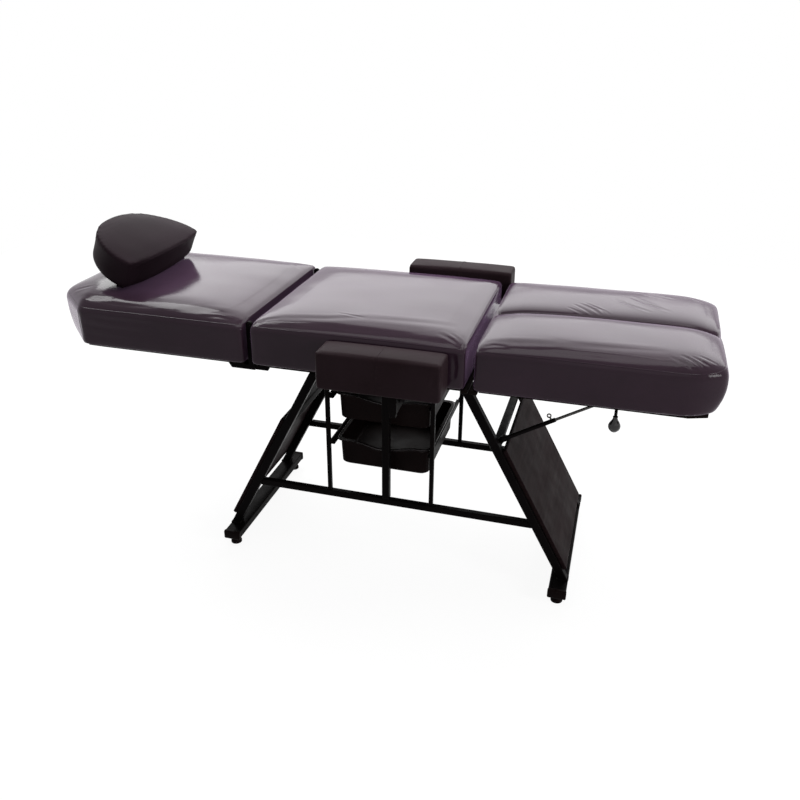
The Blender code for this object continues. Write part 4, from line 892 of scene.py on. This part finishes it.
def section_outline(x_range, half_width):
    """Outline of a section's top, anticlockwise from its head end on the near side."""
    steps = [x_range[0] + (x_range[1] - x_range[0]) * step / 60 for step in range(61)]
    return mirrored([Vector((x, -half_width(x), CUSHION_TOP)) for x in steps])


def weld(name, corners, z, material):
    """Lumpy weld bead round a tube's foot."""
    path = []
    for (x, y), (next_x, next_y) in zip(corners, corners[1:] + corners[:1]):
        for step in range(WELD_STEPS):
            share = step / WELD_STEPS
            lump = WELD_LUMP * math.sin(7.3 * len(path))
            path.append(Vector((x + (next_x - x) * share, y + (next_y - y) * share, z + WELD_RISE + lump)))
    return tube(name, path, WELD_RADIUS, material)


# Stage

def set_camera():
    data = bpy.data.cameras.new("camera")
    camera = bpy.data.objects.new("camera", data)
    scene.collection.objects.link(camera)
    yaw, pitch = CAMERA_YAW, CAMERA_PITCH
    forward = Vector((-math.sin(yaw) * math.cos(pitch), math.cos(yaw) * math.cos(pitch), -math.sin(pitch)))
    right = Vector((math.cos(yaw), math.sin(yaw), 0.0))
    up = right.cross(forward)
    turn = Matrix((right, up, -forward)).transposed().to_4x4() @ Matrix.Rotation(CAMERA_ROLL, 4, "Z")
    camera.matrix_world = Matrix.Translation(CAMERA_PLACE) @ turn
    data.sensor_width = 36.0
    data.lens = CAMERA_LENS
    data.shift_x, data.shift_y = CAMERA_SHIFT
    scene.camera = camera


def soft_box(name, place, target, size, level):
    """Rectangular lamp; level is how bright its face looks, where 1 is white."""
    data = bpy.data.lights.new(name, "AREA")
    data.shape = "RECTANGLE"
    data.size, data.size_y = size
    data.energy = level * math.pi * size[0] * size[1]
    lamp = bpy.data.objects.new(name, data)
    lamp.location = place
    lamp.rotation_euler = (Vector(target) - Vector(place)).to_track_quat("-Z", "Y").to_euler()
    lamp.visible_camera = False
    scene.collection.objects.link(lamp)


def seen_directly(tree):
    """1 for what the camera, a reflection or glass sees, and 0 for light on surfaces."""
    path = tree.nodes.new("ShaderNodeLightPath")
    total = path.outputs["Is Camera Ray"]
    for ray in ("Is Glossy Ray", "Is Transmission Ray"):
        either = tree.nodes.new("ShaderNodeMath")
        either.operation = "MAXIMUM"
        tree.links.new(total, either.inputs[0])
        tree.links.new(path.outputs[ray], either.inputs[1])
        total = either.outputs["Value"]
    return total


def set_world(ambient):
    world = bpy.data.worlds.new("studio")
    scene.world = world
    world.use_nodes = True
    tree = world.node_tree
    background = tree.nodes["Background"]
    background.inputs["Color"].default_value = (1.0, 1.0, 1.0, 1.0)
    strength = tree.nodes.new("ShaderNodeMapRange")
    strength.inputs["To Min"].default_value = ambient
    strength.inputs["To Max"].default_value = 1.0
    tree.links.new(seen_directly(tree), strength.inputs["Value"])
    tree.links.new(strength.outputs["Result"], background.inputs["Strength"])


def lay_floor():
    """Pale floor that looks white and keeps a faint shadow."""
    mesh = bmesh.new()
    bmesh.ops.create_grid(mesh, x_segments=1, y_segments=1, size=FLOOR_SIZE)
    material = bpy.data.materials.new("pale_floor")
    material.use_nodes = True
    tree = material.node_tree
    tree.nodes.remove(tree.nodes["Principled BSDF"])
    output = tree.nodes["Material Output"]
    matte = tree.nodes.new("ShaderNodeBsdfDiffuse")
    matte.inputs["Color"].default_value = (0.82, 0.82, 0.82, 1.0)
    faint = tree.nodes.new("ShaderNodeBsdfDiffuse")
    faint.inputs["Color"].default_value = (FLOOR_TINT, FLOOR_TINT, FLOOR_TINT, 1.0)
    glow = tree.nodes.new("ShaderNodeEmission")
    glow.inputs["Strength"].default_value = FLOOR_GLOW
    both = tree.nodes.new("ShaderNodeAddShader")
    tree.links.new(faint.outputs[0], both.inputs[0])
    tree.links.new(glow.outputs[0], both.inputs[1])
    choice = tree.nodes.new("ShaderNodeMixShader")
    tree.links.new(seen_directly(tree), choice.inputs["Fac"])
    tree.links.new(matte.outputs[0], choice.inputs[1])
    tree.links.new(both.outputs[0], choice.inputs[2])
    tree.links.new(choice.outputs[0], output.inputs["Surface"])
    floor = added("floor", mesh, material, smooth=False)
    floor.location.z = -FLOOR_DROP
    floor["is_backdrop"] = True


def light_bed():
    """Soft panels behind the table, which its tops mirror, and the smaller lamps."""
    for name, low_angle, high_angle, level in BACKDROP:
        middle = math.radians((low_angle + high_angle) / 2)
        height = BACKDROP_AWAY / math.cos(middle) * math.radians(high_angle - low_angle)
        place = (BACKDROP_X, BACKDROP_AWAY, BED_HEIGHT + BACKDROP_AWAY * math.tan(middle))
        soft_box(name, place, (BACKDROP_X, 0.0, BED_HEIGHT), (BACKDROP_WIDTH, height), level)
    for lamp in SOFT_BOXES:
        soft_box(*lamp)


# Fittings that follow the part's own boxes

def tray_rim(level):
    """Bead round a tray's rim, in a light plastic: a painted highlight along the rim."""
    low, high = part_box(f"tray_{level}")
    near, far = low.y + RIM_INSET, high.y - RIM_INSET
    head, foot = low.x + RIM_INSET, high.x - RIM_INSET
    corners = [Vector((x, y, high.z)) for x, y in ((head, near), (foot, near), (foot, far), (head, far))]
    rim = seamed(frame["nodes"][f"tray_{level}"], corners, rim_highlight_plastic, lean=0.0, radius=RIM_RADIUS)
    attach(rim, f"{level}_tray")


def hinge_rivets(side_name, side):
    """Rivet heads on the outer face of a backrest hinge's arm."""
    low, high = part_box(f"back_hinge_back_arm_{side_name}")
    face = low.y if side < 0 else high.y
    for index, (x, z) in enumerate(RIVET_PLACES):
        rivet = turned(f"hinge_rivet_{side_name}_{index + 1}", RIVET_PROFILE, (x, face, z),
                       (0, side, 0), zinc)
        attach(rivet, "backrest")


def gap_shade_strips(side_name, side):
    """Dark strips under the edges that meet at the leg rest's hinge: painted shade, dark sheets that darken the
    gap.
    """
    near, far = sorted(side * y for y in STRIP_Y)
    for body, (head, foot) in STRIP_X.items():
        strip = rounded_block(f"edge_strip_{body}_{side_name}", (head, near, STRIP_Z[0]),
                              (foot, far, STRIP_Z[1]), STRIP_BEVEL, board_stain)
        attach(strip, body)


def bar_cap(end, side_name, side):
    """Plastic cap on an end of a floor bar."""
    low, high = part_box(f"floor_bar_{end}")
    near, far = sorted((side * (high.y + CAP_PROUD), side * (high.y - CAP_LENGTH)))
    cap = rounded_block(f"bar_cap_{end}_{side_name}", (low.x - CAP_PROUD, near, low.z - CAP_PROUD),
                        (high.x + CAP_PROUD, far, high.z + CAP_PROUD), CAP_BEVEL, tray_plastic)
    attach(cap, "frame")


def foot_weld(end, side_name):
    """Weld bead where a leg stands on its floor bar."""
    low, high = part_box(f"leg_{end}_{side_name}")
    head, foot = (low.x, low.x + FOOT_LENGTH) if end == "head" else (high.x - FOOT_LENGTH, high.x)
    corners = [(head, low.y), (foot, low.y), (foot, high.y), (head, high.y)]
    bead = weld(f"weld_{end}_{side_name}", corners, low.z, steel)
    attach(bead, "frame")


# Putting it together

skin = leatherette(
    "leatherette", (0.025, 0.0125, 0.0205), (0.036, 0.018, 0.030), rough=0.13, gloss=1.22, sheen=0.30)
arm_skin = leatherette(
    "armrest_leatherette", (0.018, 0.010, 0.012), (0.029, 0.018, 0.022), rough=0.46, gloss=1.09)
pillow_skin = leatherette(
    "pillow_leatherette", (0.014, 0.008, 0.011), (0.023, 0.014, 0.019), rough=0.46, gloss=1.08)
steel = painted_steel()
zinc = bright_metal()
tray_plastic = moulded_plastic(
    "tray_plastic", (0.004, 0.002, 0.002), (0.009, 0.005, 0.005), rough=0.42, grain=0.30, gloss=1.09)
# Light plastic of the trays' rim beads: a painted highlight along the rims.
rim_highlight_plastic = moulded_plastic(
    "rim_highlight_plastic", (0.060, 0.052, 0.056), (0.130, 0.115, 0.122), rough=0.30, grain=0.20, gloss=1.40)
knob_plastic = moulded_plastic(
    "knob_plastic", (0.005, 0.004, 0.004), (0.009, 0.007, 0.008), rough=0.16, grain=0.05, gloss=1.45)
panel_laminate = dark_board("panel_laminate", (0.007, 0.0035, 0.0038), (0.016, 0.009, 0.010), rough=0.46)
board_stain = dark_board("board_stain", (0.005, 0.003, 0.003), (0.011, 0.008, 0.007), rough=0.60)

SLOT_LOOKS = {
    "frame_steel": steel,
    "hardware": zinc,
    "leatherette": skin,
    "pillow_leatherette": pillow_skin,
    "panel_board": panel_laminate,
    "board": board_stain,
    "plastic": tray_plastic,
    "knob_plastic": knob_plastic,
}
for entry in frame["record"]["subparts"]:
    data = frame["nodes"][entry["node"]].data
    data.materials.clear()
    data.materials.append(SLOT_LOOKS[entry["material_slot"]])

pads = [
    (seat_piece(skin), "frame", "seat_cushion", "leatherette", 0.85),
    (backrest_piece(skin), "backrest", "back_cushion", "leatherette", 0.85),
    (leg_rest_piece(skin), "leg_rest", "leg_rest_cushion", "leatherette", 0.85),
    (pillow_piece(pillow_skin), "pillow", "pillow_cushion", "pillow_leatherette", 0.8),
    (armrest_piece("near", arm_skin), "armrest_near_top", "armrest_pad_near", "leatherette", 0.9),
    (armrest_piece("far", arm_skin), "armrest_far_top", "armrest_pad_far", "leatherette", 0.9),
]
for piece, body, node_name, slot_name, fill in pads:
    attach(piece, body)
    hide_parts(node_name)

seat, backrest, leg_rest, pillow = [piece for piece, *_ in pads[:4]]
for piece, body, outline, turn in (
        (seat, "frame", section_outline(SEAT_X, lambda x: HALF_WIDTH), Matrix()),
        (backrest, "backrest", section_outline(BACK_X, back_half_width), Matrix()),
        (leg_rest, "leg_rest", section_outline(LEG_REST_X, leg_rest_half_width), Matrix()),
        (pillow, "pillow", pillow_outline(), pillow_turn())):
    seam = seamed(piece, outline, piece.data.materials[0], turn)
    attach(seam, body)
for level in ("upper", "lower"):
    tray_rim(level)
for piece, body, node_name, _, _ in pads[4:]:
    low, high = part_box(node_name)
    seam = belted(piece, (low.x + high.x) / 2, arm_skin)
    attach(seam, body)
for side_name, side in (("near", -1), ("far", 1)):
    hinge_rivets(side_name, side)
    gap_shade_strips(side_name, side)
    for end in ("head", "foot"):
        bar_cap(end, side_name, side)
        foot_weld(end, side_name)

set_camera()
set_world(AMBIENT)
lay_floor()
light_bed()
scene.view_settings.view_transform = "Standard"

low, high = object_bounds()
